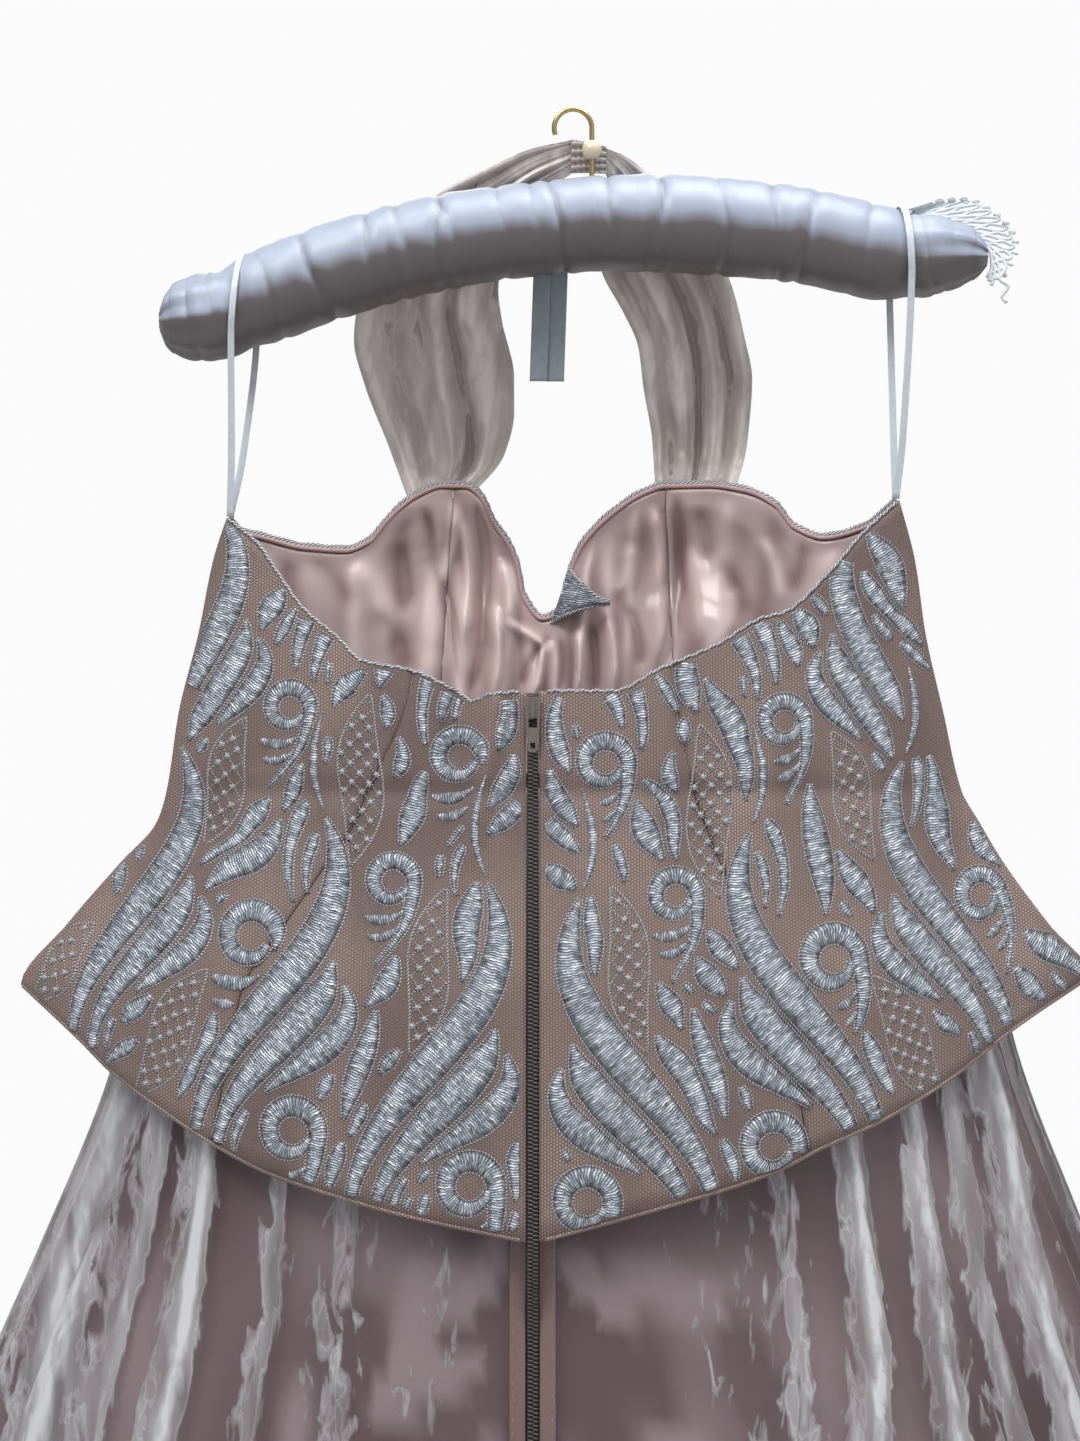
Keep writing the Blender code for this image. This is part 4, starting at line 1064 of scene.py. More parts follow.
def rope_material(name, pitch, dark, light):
    """Twisted thread: strands that run round it at a slant, painted light along each strand and painted shade
    in the grooves between them.
    """
    made, tree, shader = principled(name, Roughness=0.4, Metallic=0.3)
    run = add(tree, "SeparateXYZ", {0: add(tree, "TexCoord").outputs["UV"]})
    twist = maths(tree, "ADD", run.outputs[0], maths(tree, "MULTIPLY", run.outputs[1], 1.4))
    strand = maths(tree, "SINE", maths(tree, "MULTIPLY", twist, 2 * math.pi / pitch))
    tone = ranged(tree, strand, -1, 1)
    coloured(tree, shader, mixed(tree, tone, dark, light), bumps(tree, tone, 0.9, 0.0005))
    return made


THREAD = thread_material()
CORD = rope_material("edge_cord", 1.6, (0.13, 0.115, 0.11), (0.60, 0.60, 0.62))


def scattered(name, pattern, places, turned, material):
    """Copies of a small finished mesh on points in mm, by a Geometry Nodes tree, as plain mesh."""
    tree = bpy.data.node_groups.new(name + "_on_points", "GeometryNodeTree")
    tree.interface.new_socket("Geometry", in_out="INPUT", socket_type="NodeSocketGeometry")
    size = tree.interface.new_socket("Piece Size", in_out="INPUT", socket_type="NodeSocketFloat")
    tree.interface.new_socket("Geometry", in_out="OUTPUT", socket_type="NodeSocketGeometry")
    start, end = tree.nodes.new("NodeGroupInput"), tree.nodes.new("NodeGroupOutput")
    source = tree.nodes.new("GeometryNodeObjectInfo")
    source.inputs["Object"].default_value = pattern
    turn = tree.nodes.new("FunctionNodeRandomValue")
    turn.data_type = "FLOAT_VECTOR"
    turn.inputs["Min"].default_value = (0, 0, 0)
    turn.inputs["Max"].default_value = (0, turned, 0)
    turn.inputs["Seed"].default_value = 4
    put = tree.nodes.new("GeometryNodeInstanceOnPoints")
    real = tree.nodes.new("GeometryNodeRealizeInstances")
    skin = tree.nodes.new("GeometryNodeSetMaterial")
    skin.inputs["Material"].default_value = material
    tree.links.new(start.outputs["Geometry"], put.inputs["Points"])
    tree.links.new(source.outputs["Geometry"], put.inputs["Instance"])
    tree.links.new(turn.outputs["Value"], put.inputs["Rotation"])
    tree.links.new(start.outputs["Piece Size"], put.inputs["Scale"])
    tree.links.new(put.outputs["Instances"], real.inputs["Geometry"])
    tree.links.new(real.outputs["Geometry"], skin.inputs["Geometry"])
    tree.links.new(skin.outputs["Geometry"], end.inputs["Geometry"])
    points = bpy.data.meshes.new(name + "_points")
    points.from_pydata((np.asarray(places) * MM).tolist(), [], [])
    holder = bpy.data.objects.new(name, points)
    bpy.context.scene.collection.objects.link(holder)
    made = holder.modifiers.new("copies", "NODES")
    made.node_group = tree
    made[size.identifier] = 1.0
    copies = bpy.data.meshes.new_from_object(holder.evaluated_get(bpy.context.evaluated_depsgraph_get()))
    holder.modifiers.clear()
    holder.data = copies
    bpy.data.objects.remove(pattern)
    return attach(holder, BODY)


KNOT = rope_material("star_knots", 1.1, (0.42, 0.44, 0.47), (0.90, 0.93, 0.97))


def star_pattern():
    """A six-armed knot of thread, flat beneath."""
    reach = np.where(np.arange(12) % 2 == 0, 2.2, 1.0)
    turn = np.arange(12) * math.pi / 6
    rim = np.stack([reach * np.cos(turn), 0 * turn, reach * np.sin(turn)], -1)
    points = np.concatenate([rim, [[0, 1.0, 0], [0, -1.0, 0]]])
    faces = [(i, (i + 1) % 12, 12) for i in range(12)] + [((i + 1) % 12, i, 13) for i in range(12)]
    obj = build("star_knot", points, [f[::-1] for f in faces], points[:, [0, 2]], smooth=False)
    obj.data.materials.append(KNOT)
    return obj


def on_face(left, face):
    """Where the embroidery may lie on one half of the back or of the front."""
    side = "left" if left else "right"
    edge = zip_edge(left) if face == "back" else CENTRE_FRONT

    def allowed(x, z):
        share = (x - edge) / (bodice(side, z) - edge)
        inside = np.clip(share, 0, 1)
        top = back_top(inside, left) if face == "back" else neckline(-inside if left else inside)
        within = (share > (0.012 if face == "back" else 0.0)) & (share < 0.992)
        return within & (z < top - 1.5) & (z > hem_of(inside, left) + 1.8)

    return allowed


for left in (True, False):
    for face, surface, outward in (("back", back_y, -1), ("front", front_y, 1)):
        allowed = on_face(left, face)
        work = Needlework(allowed, CENTRE_BACK if face == "back" else CENTRE_FRONT, 1 if left else -1)
        for rows, draw in ((TRIOS[:4], work.trio), (SCROLLS, work.scroll), (LATTICES, work.lattice),
                           (TRIOS[4:], work.trio), (SPINDLES, work.spindle)):
            for row in rows:
                draw(*row)
        work.fill()
        name = face + ("_left" if left else "_right")
        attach(work.laid("embroidery_" + name, surface, outward), BODY)
        x, z = np.array([knot for knot in work.knots if allowed(*knot)]).T
        places = np.stack([x, surface(x, z), z], -1) + facing(surface, outward, x, z) * 0.4
        scattered("knots_" + name, star_pattern(), places, 6.28, KNOT)


def thick(name, face, cloth, toward):
    """A closed cloth from its outer grid of points, with its thickness laid behind it."""
    down, across = np.gradient(face, axis=0), np.gradient(face, axis=1)
    normal = np.cross(down, across)
    normal /= np.linalg.norm(normal, axis=2, keepdims=True) + 1e-12
    if np.sum(normal @ np.asarray(toward, float)) < 0:
        normal = -normal
    return shell(name, face, face - normal * cloth)


def declare(obj, rests_on, with_pieces=()):
    """Reads the cloth's flat cut from its UV map, and keeps nothing of it."""
    mesh = obj.data
    uv = np.empty(len(mesh.loops) * 2, np.float32)
    mesh.uv_layers["cloth"].data.foreach_get("uv", uv)
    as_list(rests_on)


PANEL_HOLDS = {
    "centre_back_left": ("side_back_left",),
    "centre_back_right": ("side_back_right",),
    "side_back_left": ("hanging_loop_left",),
    "side_back_right": ("hanging_loop_right",),
    "side_front_left": ("hanging_loop_left",),
    "side_front_right": ("hanging_loop_right",),
    "centre_front": ("neck_band_left", "neck_band_right"),
}
for name, holders in PANEL_HOLDS.items():
    declare(bpy.data.objects[name + "_cloth"], holders)


# Lining of the bust
# Dusky pink satin, gathered towards the centre of the front, with two seams over the cups. It
# is sewn to the neckline, hangs inside the front and ends just above the waist.
# Columns: place, half_width, depth
GATHERS = (
    (-0.36, 0.030, 3.0),
    (-0.27, 0.030, 3.5),
    (-0.17, 0.028, 4.0),
    (-0.07, 0.024, 4.0),
    (0.00, 0.020, 3.0),
    (0.07, 0.022, 4.0),
    (0.15, 0.026, 3.5),
    (0.30, 0.035, 3.0),
    (0.44, 0.040, 2.5),
)
# Columns: top, foot, long, half_width, rise
RUMPLES = (
    (-0.90, -0.62, 30, 0.030, 1.2),
    (-0.80, -0.66, 52, 0.036, -1.4),
    (-0.60, -0.55, 40, 0.026, 1.5),
    (-0.48, -0.44, 45, 0.030, -1.3),
    (-0.33, -0.22, 70, 0.022, 1.6),
    (-0.12, -0.16, 60, 0.018, 1.6),
    (0.10, 0.02, 60, 0.018, 1.6),
    (0.24, 0.13, 80, 0.022, 1.4),
    (0.52, 0.40, 50, 0.030, 1.4),
    (0.66, 0.52, 44, 0.034, -1.4),
    (0.80, 0.60, 36, 0.034, 1.4),
)
# Columns: x0, z0, x1, z1, half_width, rise
LINING_CREASES = (
    (-76, -196, -71, -226, 2.6, -2.6),
    (-71, -226, -57, -286, 3.0, -3.4),
    (-60, -198, -69, -236, 2.6, 2.8),
    (-49, -193, -46, -250, 3.2, -3.6),
    (-46, -250, -53, -290, 3.0, -2.6),
    (-57, -200, -56, -262, 3.0, 3.0),
    (-36, -222, -33, -254, 3.4, 3.6),
    (-33, -254, -12, -268, 2.8, 2.4),
    (-26, -286, -13, -262, 2.4, -2.8),
    (-40, -246, -40, -292, 2.6, 2.2),
    (-90, -214, -84, -246, 5.5, -2.0),
    (-108, -226, -90, -262, 7.0, 2.0),
    (-132, -222, -112, -246, 6.0, -1.4),
    (-98, -250, -82, -280, 6.0, -1.6),
    (-16, -264, -19, -292, 2.2, 2.6),
    (-6, -262, -7, -292, 2.0, -2.6),
    (2, -258, 2, -292, 2.2, 2.6),
    (10, -256, 12, -290, 2.2, -2.6),
    (18, -250, 22, -288, 2.6, 2.6),
    (54, -192, 53, -246, 3.2, -3.8),
    (53, -246, 44, -280, 3.0, -3.2),
    (42, -196, 46, -232, 3.4, 3.0),
    (29, -246, 36, -276, 3.0, -2.8),
    (65, -196, 71, -222, 4.4, -2.6),
    (62, -216, 66, -262, 5.0, 2.6),
    (77, -222, 90, -252, 5.0, -2.2),
    (98, -212, 106, -244, 4.0, 2.2),
    (84, -236, 74, -268, 5.0, 1.8),
    (118, -214, 112, -238, 4.0, -1.8),
    (30, -214, 24, -240, 5.0, 1.8),
)
LINING_FOOT = -332.0
LINING_REACH = 0.95
SETBACK = (2.0, 3.8)
LINING_CLOTH = 0.8
LINING_LINES, LINING_CENTRE_LINES = (70, 60), 150


def satin_material(name, dark, light, roughness, across=60.0, along=30.0, deep=0.0012, painted_fold_light=0.0):
    """Satin, lighter and darker in soft patches, and painted_fold_light of the way by its ridge values: a
    painted highlight on the crests of its folds and painted shade in their troughs.
    """
    made, tree, shader = principled(name, Roughness=roughness, Sheen_Weight=0.2)
    place = add(tree, "TexCoord").outputs["Object"]
    rumple = placed(tree, CREASED, Place=place, Across=across, Along=along, Fineness=1.0)
    ridge = add(tree, "Attribute", attribute_name="ridge")
    level = add(tree, "Mix", {0: painted_fold_light, 2: rumple.outputs["Tint"], 3: ridge.outputs["Fac"]})
    tone = mixed(tree, level.outputs[0], dark, light)
    coloured(tree, shader, tone, bumps(tree, rumple.outputs["Height"], 0.7, deep))
    return made


def mark(obj, values, faces=2):
    """Writes how much each point of a cloth, on both its faces, lies on a fold: the ridge values by which its
    material paints highlights and shade, and makes sheer cloth denser.
    """
    layer = obj.data.attributes.new("ridge", "FLOAT", "POINT")
    both = np.concatenate([values.ravel()] * faces).astype(np.float32)
    layer.data.foreach_set("value", np.clip(both, 0, 1))


# The lining's dark and light colours are its shaded and lit satin: painted shade and painted highlight by its
# folds.
PINK_SATIN = satin_material(
    "pink_satin", (0.20, 0.105, 0.10), (0.88, 0.70, 0.665), 0.27, 40.0, 34.0, 0.003, painted_fold_light=0.75
)


def creased(x, z, lines):
    """How far soft ridges and troughs, each along its own line, stand out."""
    total = np.zeros(np.broadcast(x, z).shape)
    for x0, z0, x1, z1, half, rise in lines:
        long = math.hypot(x1 - x0, z1 - z0)
        way = ((x - x0) * (x1 - x0) + (z - z0) * (z1 - z0)) / long**2
        bow = 0.05 * long * np.sin(math.pi * way)
        aside = ((x - x0) * (z1 - z0) - (z - z0) * (x1 - x0)) / long + bow
        ends = ease(way, -0.15, 0.2) * (1 - ease(way, 0.75, 1.15))
        total += rise * ends * np.exp(-np.abs(aside / half) ** 1.6)
    return total


def lining_relief(share, z):
    """How far the gathers and creases of the lining stand in from the front."""
    x = front_x(share, z)
    below = neckline(share) - z
    gather = sum(depth * bell(share - place, half) for place, half, depth in GATHERS) * ease(below, 4, 30)
    for top, foot, long, half, rise in RUMPLES:
        way = below / (2.4 * long)
        line = top + np.clip(way, 0, 1) * (foot - top)
        gather = gather + 1.5 * rise * bell(share - line, half) * ease(below, 3, 14)
    creases = creased(x, z, LINING_CREASES)
    return gather + np.where(creases > 0, 1.5 * creases, np.maximum(creases, -1.9)) * ease(below, 1, 8)


def levelled(grid, times):
    """The grid with each point drawn to its neighbours' mean, again and again."""
    for _ in range(times):
        grid = np.pad(grid, 1, mode="edge")
        grid = (grid[:-2, 1:-1] + grid[2:, 1:-1] + grid[1:-1, :-2] + grid[1:-1, 2:]) / 4
    return grid


for part, (inner, outer) in FRONT_SPANS.items():
    share, z, a = front_grid(
        lambda z, inner=inner: np.maximum(-LINING_REACH, inner(z)),
        lambda z, outer=outer: np.minimum(LINING_REACH, outer(z)),
        LINING_LINES[0],
        LINING_CENTRE_LINES if part == "centre" else LINING_LINES[1],
        top_drop=1.5,
        foot=LINING_FOOT,
    )
    relief = lining_relief(share, z)
    near, far = SETBACK
    back = near + (far - near) * ease(neckline(share) - z, 2, 20)
    back = back - rolled(a, (part != "left", part != "right"))
    x = front_x(share, z)
    face = np.stack([x, front_y(x, z) - PROUD - relief - back, z], -1)
    name = "lining_" + part
    obj = shell(name + "_cloth", face + (0, LINING_CLOTH, 0), face)
    # Fold crests against their surroundings, which the pink satin turns into painted highlight and painted
    # shade.
    mark(obj, 0.55 + 0.32 * (relief - levelled(relief, 30)))
    wear(obj, PINK_SATIN, "lining_satin", name)
    declare(obj, ("centre_front", "side_front_left", "side_front_right"))


# Neckline edging
# A narrow pink piping and a silver rope along the front's top edge, with its corner folded
# over at the centre, a thinner rope along the back's, and a bound edge round the peplum's hem.
ROPE_PITCH = 2.4
PIPING_HALF = 1.1
NECK_ROPE_HALF = (1.9, 0.8)
FLAP_CLOTH = 0.8
FLAP_EDGE_HALF = (1.1, 0.9)
BACK_CORD_HALF = 0.75
HEM_EDGE_HALF = 0.95


def tube(name, paths, radius, sides, uneven=0.0):
    """One mesh of round threads along paths of points in mm, closed at their ends."""
    points, faces, uv, count = [], [], [], 0
    turn = np.arange(sides) * 2 * math.pi / sides
    for n, path in enumerate(paths):
        path = np.asarray(path, float)
        size = radius[n] if isinstance(radius, (list, tuple)) else radius
        ahead = np.gradient(path, axis=0)
        ahead /= np.linalg.norm(ahead, axis=1, keepdims=True) + 1e-12
        side = np.zeros_like(path)
        last = np.array([0.3, 0.8, 0.5])
        for i, direction in enumerate(ahead):
            last = last - direction * np.dot(last, direction)
            last = last / (np.linalg.norm(last) + 1e-12)
            side[i] = last
        over = np.cross(ahead, side)
        wide = size * (1 + uneven * np.sin(np.arange(len(path)) * 2.1))[:, None, None]
        ring = side[:, None] * np.cos(turn)[None, :, None] + over[:, None] * np.sin(turn)[None, :, None]
        points.append((path[:, None] + ring * wide).reshape(-1, 3))
        rows = len(path)
        far = far_along(path)
        uv.append(np.stack([np.repeat(far, sides), np.tile(turn * size, rows)], -1))
        faces += round_faces(count, rows, sides)
        count += rows * sides
    return build(name, np.concatenate(points), faces, np.concatenate(uv))


ROPE = rope_material("silver_rope", ROPE_PITCH, (0.14, 0.13, 0.135), (0.78, 0.80, 0.84))
PIPING = satin_material("pink_piping", (0.42, 0.26, 0.24), (0.60, 0.40, 0.38), 0.45)
share = np.linspace(-0.99, 0.99, 420)
z = neckline(share)
x = front_x(share, z)
y = front_y(x, z)
sway = 0.5 * np.sin(np.arange(len(x)) * 0.37)
piping = tube("neckline_piping", [np.stack([x, y - 1.6 - PROUD, z + 0.3], -1)], PIPING_HALF, 8)
wear(piping, PIPING, "lining_satin")
upper = np.stack([x, y + 0.2, z + 1.6 + sway * 0.4], -1)
lower = np.stack([x, y + 0.3, z - 1.6 + sway], -1)
wear(tube("neckline_rope", [upper, lower], NECK_ROPE_HALF, 8, 0.12), ROPE, "embroidered_tulle")
side, along = np.meshgrid(np.linspace(0, 1, 15), np.linspace(0, 1, 41))
bow = (4 * along * (1 - along))[..., None] * (0, 1)
top_edge = np.array([-1.5, -225.5]) + along[..., None] * (21.0, -17.5) - 3.5 * bow
foot_edge = np.array([-11.0, -254.0]) + along[..., None] * (30.5, 9.5) + 2.0 * bow
flat = top_edge + side[..., None] * (foot_edge - top_edge)
depth = front_y(flat[..., 0], flat[..., 1]) - 3.0
depth = depth - 13.0 * ease(along, 0.0, 0.3) - 2.5 * np.sin(math.pi * side)
flap = np.stack([flat[..., 0], depth, flat[..., 1]], -1)
turned_down = wear(shell("neckline_flap", flap, flap + (0, FLAP_CLOTH, 0)), THREAD, "embroidered_tulle")
edging = tube("neckline_flap_edges", [flap[:, 0], flap[:, -1]], FLAP_EDGE_HALF, 7, 0.12)
declare(turned_down, ("centre_front",), [wear(edging, ROPE, "embroidered_tulle")])
ropes = []
for left in (True, False):
    share = np.linspace(0.02, 0.99, 260)
    for _ in range(4):
        z = back_top(share, left)
    x = back_x(share, z, left)
    ropes.append(np.stack([x, back_y(x, z) + 0.1, z + 0.2 + 0.3 * np.sin(share * 190)], -1))
wear(tube("back_edge_cord", ropes, BACK_CORD_HALF, 7, 0.1), ROPE, "embroidered_tulle")
hems = []
for left in (True, False):
    share = np.linspace(0.01, 0.995, 200)
    z = hem_of(share, left) + 0.3
    x = back_x(share, z, left)
    hems.append(np.stack([x, back_y(x, z) + 0.45, z], -1))
    x = front_x(-share if left else share, z)
    hems.append(np.stack([x, front_y(x, z) - 0.45, z], -1))
wear(tube("hem_edge", hems, HEM_EDGE_HALF, 8), TULLE, "embroidered_tulle")


# Neck bands
# Two gathered bands of pale organza, from the bust cups up behind the padded arm to a small
# sewn tab beside the hook; the folds fan out of the cups.
BAND_COLUMNS = ("way", "outer_x", "outer_y", "outer_z", "inner_x", "inner_y", "inner_z")
BANDS = {
    "neck_band_left": (
        (0.15, -95, 51, -162, -35, 56, -165),
        (0.28, -107, 44, -131, -30, 51, -144),
        (0.38, -112, 36, -110, -30, 45, -126),
        (0.50, -109, 30, -88, -36, 34, -100),
        (0.60, -96, 28, -65, -38, 28, -85),
        (0.72, -70, 22, -38, -36, 26, -66),
        (0.84, -42, 17, -24, -30, 24, -52),
        (0.93, -19, 12, -15, -15, 18.5, -37),
        (1.00, -0.9, 6.0, -12.5, -0.9, 8.0, -29),
    ),
    "neck_band_right": (
        (0.15, 91, 51, -160, 42, 55, -160),
        (0.28, 93, 43, -130, 37, 47, -132),
        (0.40, 88, 34, -106, 34, 39, -112),
        (0.50, 81, 28, -81, 26, 32, -95),
        (0.60, 70, 27, -60, 16, 27, -78),
        (0.72, 48, 21, -32, 11, 26, -62),
        (0.84, 36, 17, -25, 18, 23, -50),
        (0.93, 26, 12.5, -19, 20, 18.5, -37),
        (1.00, 16.9, 6.0, -16.5, 16.9, 8.0, -29),
    ),
}
BAND_FEET = {"neck_band_left": (-84.0, -50.0), "neck_band_right": (84.0, 43.0)}
# Columns: foot_a, top_a, half_width, rise, start, end
BAND_FOLDS = {
    "neck_band_left": (
        (0.10, 0.05, 0.050, 3.5, 0.0, 0.9),
        (0.26, 0.22, 0.045, -3.0, 0.0, 0.5),
        (0.38, 0.36, 0.060, 3.0, 0.0, 0.7),
        (0.55, 0.52, 0.055, 5.0, 0.0, 1.0),
        (0.72, 0.62, 0.045, -6.5, 0.0, 0.95),
        (0.84, 0.78, 0.060, 4.5, 0.0, 0.9),
        (0.95, 0.96, 0.040, -3.0, 0.0, 0.9),
        (0.46, 0.40, 0.030, -3.0, 0.3, 1.0),
        (0.18, 0.14, 0.025, -2.5, 0.35, 1.0),
        (0.66, 0.70, 0.025, 3.0, 0.4, 1.0),
    ),
    "neck_band_right": (
        (0.08, 0.06, 0.045, 3.5, 0.0, 0.9),
        (0.20, 0.20, 0.040, -4.5, 0.0, 0.8),
        (0.36, 0.34, 0.060, 4.0, 0.0, 0.9),
        (0.52, 0.46, 0.040, -6.0, 0.0, 0.95),
        (0.68, 0.66, 0.060, 4.0, 0.0, 0.8),
        (0.82, 0.80, 0.040, -3.0, 0.0, 0.8),
        (0.94, 0.94, 0.040, 3.0, 0.0, 0.9),
        (0.44, 0.40, 0.028, -3.0, 0.35, 1.0),
        (0.72, 0.74, 0.025, -2.5, 0.4, 1.0),
    ),
}


def organza_material(name, dark, light, clear, dense, roughness=0.34):
    """Sheer crisp cloth: denser along its folds where it doubles over, and lighter there with a painted
    sheen, in steps with uneven edges.
    """
    made, tree, shader = principled(name, Roughness=roughness, Sheen_Weight=0.6, Sheen_Roughness=0.3)
    place = add(tree, "TexCoord").outputs["Object"]
    ridge = add(tree, "Attribute", attribute_name="ridge").outputs["Fac"]
    rumple = placed(tree, CREASED, Place=place, Across=95.0, Along=7.0, Fineness=0.6).outputs["Height"]
    torn = placed(tree, CREASED, Place=place, Across=150.0, Along=38.0, Fineness=6.0).outputs["Height"]
    near = maths(tree, "ADD", ridge, ranged(tree, torn, 0, 1, -0.34, 0.34))
    cloud = ranged(tree, rumple, 0.35, 0.65, 0.55, 1.25)
    # The painted sheen, with the extra density of the folds: sharp-edged patches, crests, a soft lift and a
    # rim.
    sheet = maths(tree, "MULTIPLY", ranged(tree, near, 0.24, 0.34, 0, 0.42), cloud)
    crest = ranged(tree, near, 0.55, 0.85, 0, 0.50)
    soft = maths(tree, "MULTIPLY", ridge, 0.25)
    rim = maths(tree, "MULTIPLY", maths(tree, "COMPARE", near, 0.31, 0.05), 0.16)
    sheen_and_layers = sheet
    for part in (crest, soft, rim):
        sheen_and_layers = maths(tree, "ADD", sheen_and_layers, part)
    held = add(tree, "Clamp", {"Value": sheen_and_layers}).outputs["Result"]
    tree.links.new(ranged(tree, held, 0, 1, clear, dense), shader.inputs["Alpha"])
    coloured(tree, shader, mixed(tree, held, dark, light), bumps(tree, rumple, 0.5, 0.0010))
    return made


# Its light colour is the painted silvery sheen of its folds.
BAND_ORGANZA = organza_material("band_organza", (0.27, 0.215, 0.195), (0.74, 0.67, 0.63), 0.80, 0.97, 0.30)


def top_of_front(x):
    share = np.array((x - CENTRE_FRONT) / 180.0)
    for _ in range(12):
        z = neckline(share)
        side = bodice("left" if x < CENTRE_FRONT else "right", z)
        share = (x - CENTRE_FRONT) / np.abs(side - CENTRE_FRONT)
    return np.array([x, float(front_y(np.array(x), z)) - PROUD, float(z)])


BAND_LINES = (72, 81)
BAND_CLOTH = 0.4
for name, rows in BANDS.items():
    d, a = grid_of(*BAND_LINES)
    feet = [top_of_front(x) for x in BAND_FEET[name]]
    table = ((0.0, *feet[0], *feet[1]),) + rows
    ends = [through(table, BAND_COLUMNS, c, d) for c in BAND_COLUMNS[1:]]
    outer, inner = np.stack(ends[:3], -1), np.stack(ends[3:], -1)
    face = outer + (inner - outer) * a[..., None]
    first, last = BAND_FEET[name]
    for i in range(BAND_LINES[1]):
        along = first + (last - first) * i / (BAND_LINES[1] - 1)
        lowest = 1 - ease(d[:, i], 0.0, 0.10)
        face[:, i] += (top_of_front(along) + (0, 0.6, 0.6) - face[0, i]) * lowest[:, None]
    spread = ease(d, 0.0, 0.22) * (1 - ease(d, 0.86, 1.0)) * 0.55 + 0.25
    rise = np.zeros_like(a)
    for foot_a, top_a, half, high, start, end in BAND_FOLDS[name]:
        middle = foot_a + (top_a - foot_a) * ease(d, 0, 0.6)
        ends = (ease(d, start - 0.01, start + 0.15) if start else 1) * (1 - ease(d, end - 0.1, end + 0.1))
        rise += high * ends * bell(a - middle, half * (1 + 0.3 * d))
    rise += 0.7 * np.sin(2 * math.pi * (11 * a + 1.5 * d)) * (1 - ease(d, 0.0, 0.35) * 0.6)
    face[..., 1] += 2.0 - rise * spread
    obj = thick(name + "_cloth", face, BAND_CLOTH, (0, -1, 0))
    # Painted sheen: lighter on the crests of the folds and in broad silvery patches.
    mark(obj, 0.50 + 0.05 * rise + 0.12 * np.sin(5 * d + 7 * a) + 0.08 * np.sin(17 * d - 5 * a))
    wear(obj, BAND_ORGANZA, "organza", name)
    declare(obj, ("neck_tab", "centre_front"))
TAB_MIDDLE, TAB_HALF_HEIGHT, TAB_HALF_WIDTH, TAB_CLOTH = (8.0, 6.85, -20.8), 8.5, 8.8, 2.0
a, d = np.meshgrid(np.linspace(-1, 1, 41), np.linspace(-1, 1, 33))
pleat = 0.8 * np.sin(d * 13 + 1.5 * a) + 0.3 * np.sin(a * 19)
top = TAB_MIDDLE[2] + TAB_HALF_HEIGHT - 1.9 * (1 + a)
x = TAB_MIDDLE[0] + TAB_HALF_WIDTH * a
y = TAB_MIDDLE[1] - 0.9 - pleat - 1.5 * (1 - a * a)
face = np.stack([x, y, top - (1 + d) * (top - TAB_MIDDLE[2] + TAB_HALF_HEIGHT) / 2], -1)
inner = face + (0, TAB_CLOTH, 0) + np.stack([0 * a, 2 * pleat, 0 * a], -1)
obj = shell("neck_tab_cloth", face, inner)
# Painted sheen on the crests of the tab's pleats.
mark(obj, 0.25 + 0.25 * pleat)
wear(obj, BAND_ORGANZA, "organza", "neck_tab")
declare(obj, ("neck_band_left", "neck_band_right"))


# Skirts
# A sheer crisp organza overskirt falls in uneven folds over a plain satin underskirt. Both hang
# from the waist, the centre back seam closed below the zip.
SKIRT_COLUMNS = ("height", "left", "right", "back", "front", "round")
OVERSKIRT = (
    (-375, -205, 198, 43, 46, 0.98),
    (-437, -220, 213, 54, 56, 0.92),
    (-475, -229, 222, 60, 62, 0.88),
    (-565, -264, 256, 72, 75, 0.80),
    (-612, -284, 275, 80, 84, 0.76),
    (-700, -320, 310, 94, 99, 0.70),
    (-900, -390, 378, 126, 132, 0.64),
    (-1150, -462, 449, 165, 172, 0.60),
    (-1420, -522, 508, 205, 212, 0.58),
)
SEATED = {"left": -4.5, "right": 4.5, "back": 3.6, "front": 3.6}
UNDER_INSET = 7.0
# Columns: place, half_width, rise
BACK_FOLDS = (
    (-0.91, 0.036, 1.0),
    (-0.79, 0.040, 1.0),
    (-0.645, 0.045, 1.1),
    (-0.46, 0.060, 0.45),
    (-0.20, 0.070, 0.25),
    (0.13, 0.070, 0.2),
    (0.335, 0.055, 0.45),
    (0.485, 0.040, 0.9),
    (0.61, 0.040, 1.1),
    (0.75, 0.040, 0.9),
    (0.90, 0.036, 1.0),
)
FRONT_FOLDS = (
    (-0.90, 0.034, 0.9),
    (-0.79, 0.040, 1.0),
    (-0.67, 0.045, 0.9),
    (-0.49, 0.050, 0.8),
    (-0.29, 0.055, 0.5),
    (-0.08, 0.055, 0.4),
    (0.15, 0.055, 0.45),
    (0.36, 0.050, 0.8),
    (0.55, 0.045, 1.0),
    (0.71, 0.040, 0.9),
    (0.89, 0.036, 1.0),
)
FOLD_RISE = 34.0
SKIRT_CLOTH = 0.35
SKIRT_PROUD = 0.9


def skirt(column, z, inset):
    if column == "round":
        return through(((WAIST, 1, 1, 1, 1, 1.0),) + OVERSKIRT, SKIRT_COLUMNS, column, z)
    at_waist = float(bodice(column, WAIST)) - SEATED[column]
    row = (WAIST, *[at_waist] * (len(SKIRT_COLUMNS) - 1))
    value = through((row,) + OVERSKIRT, SKIRT_COLUMNS, column, z)
    drawn = np.minimum(inset, abs(SEATED[column]) + inset * ease(z, WAIST - 6, WAIST - 90))
    return value - math.copysign(1, SEATED[column]) * drawn


def fold_rise(table, place, z):
    share = np.clip((WAIST - z) / (WAIST - HEM), 0, 1)
    total = sum(rise * bell(place - middle, half) for middle, half, rise in table)
    return FOLD_RISE * total * share**0.9 * ease(1 - np.abs(place), 0.02, 0.16)


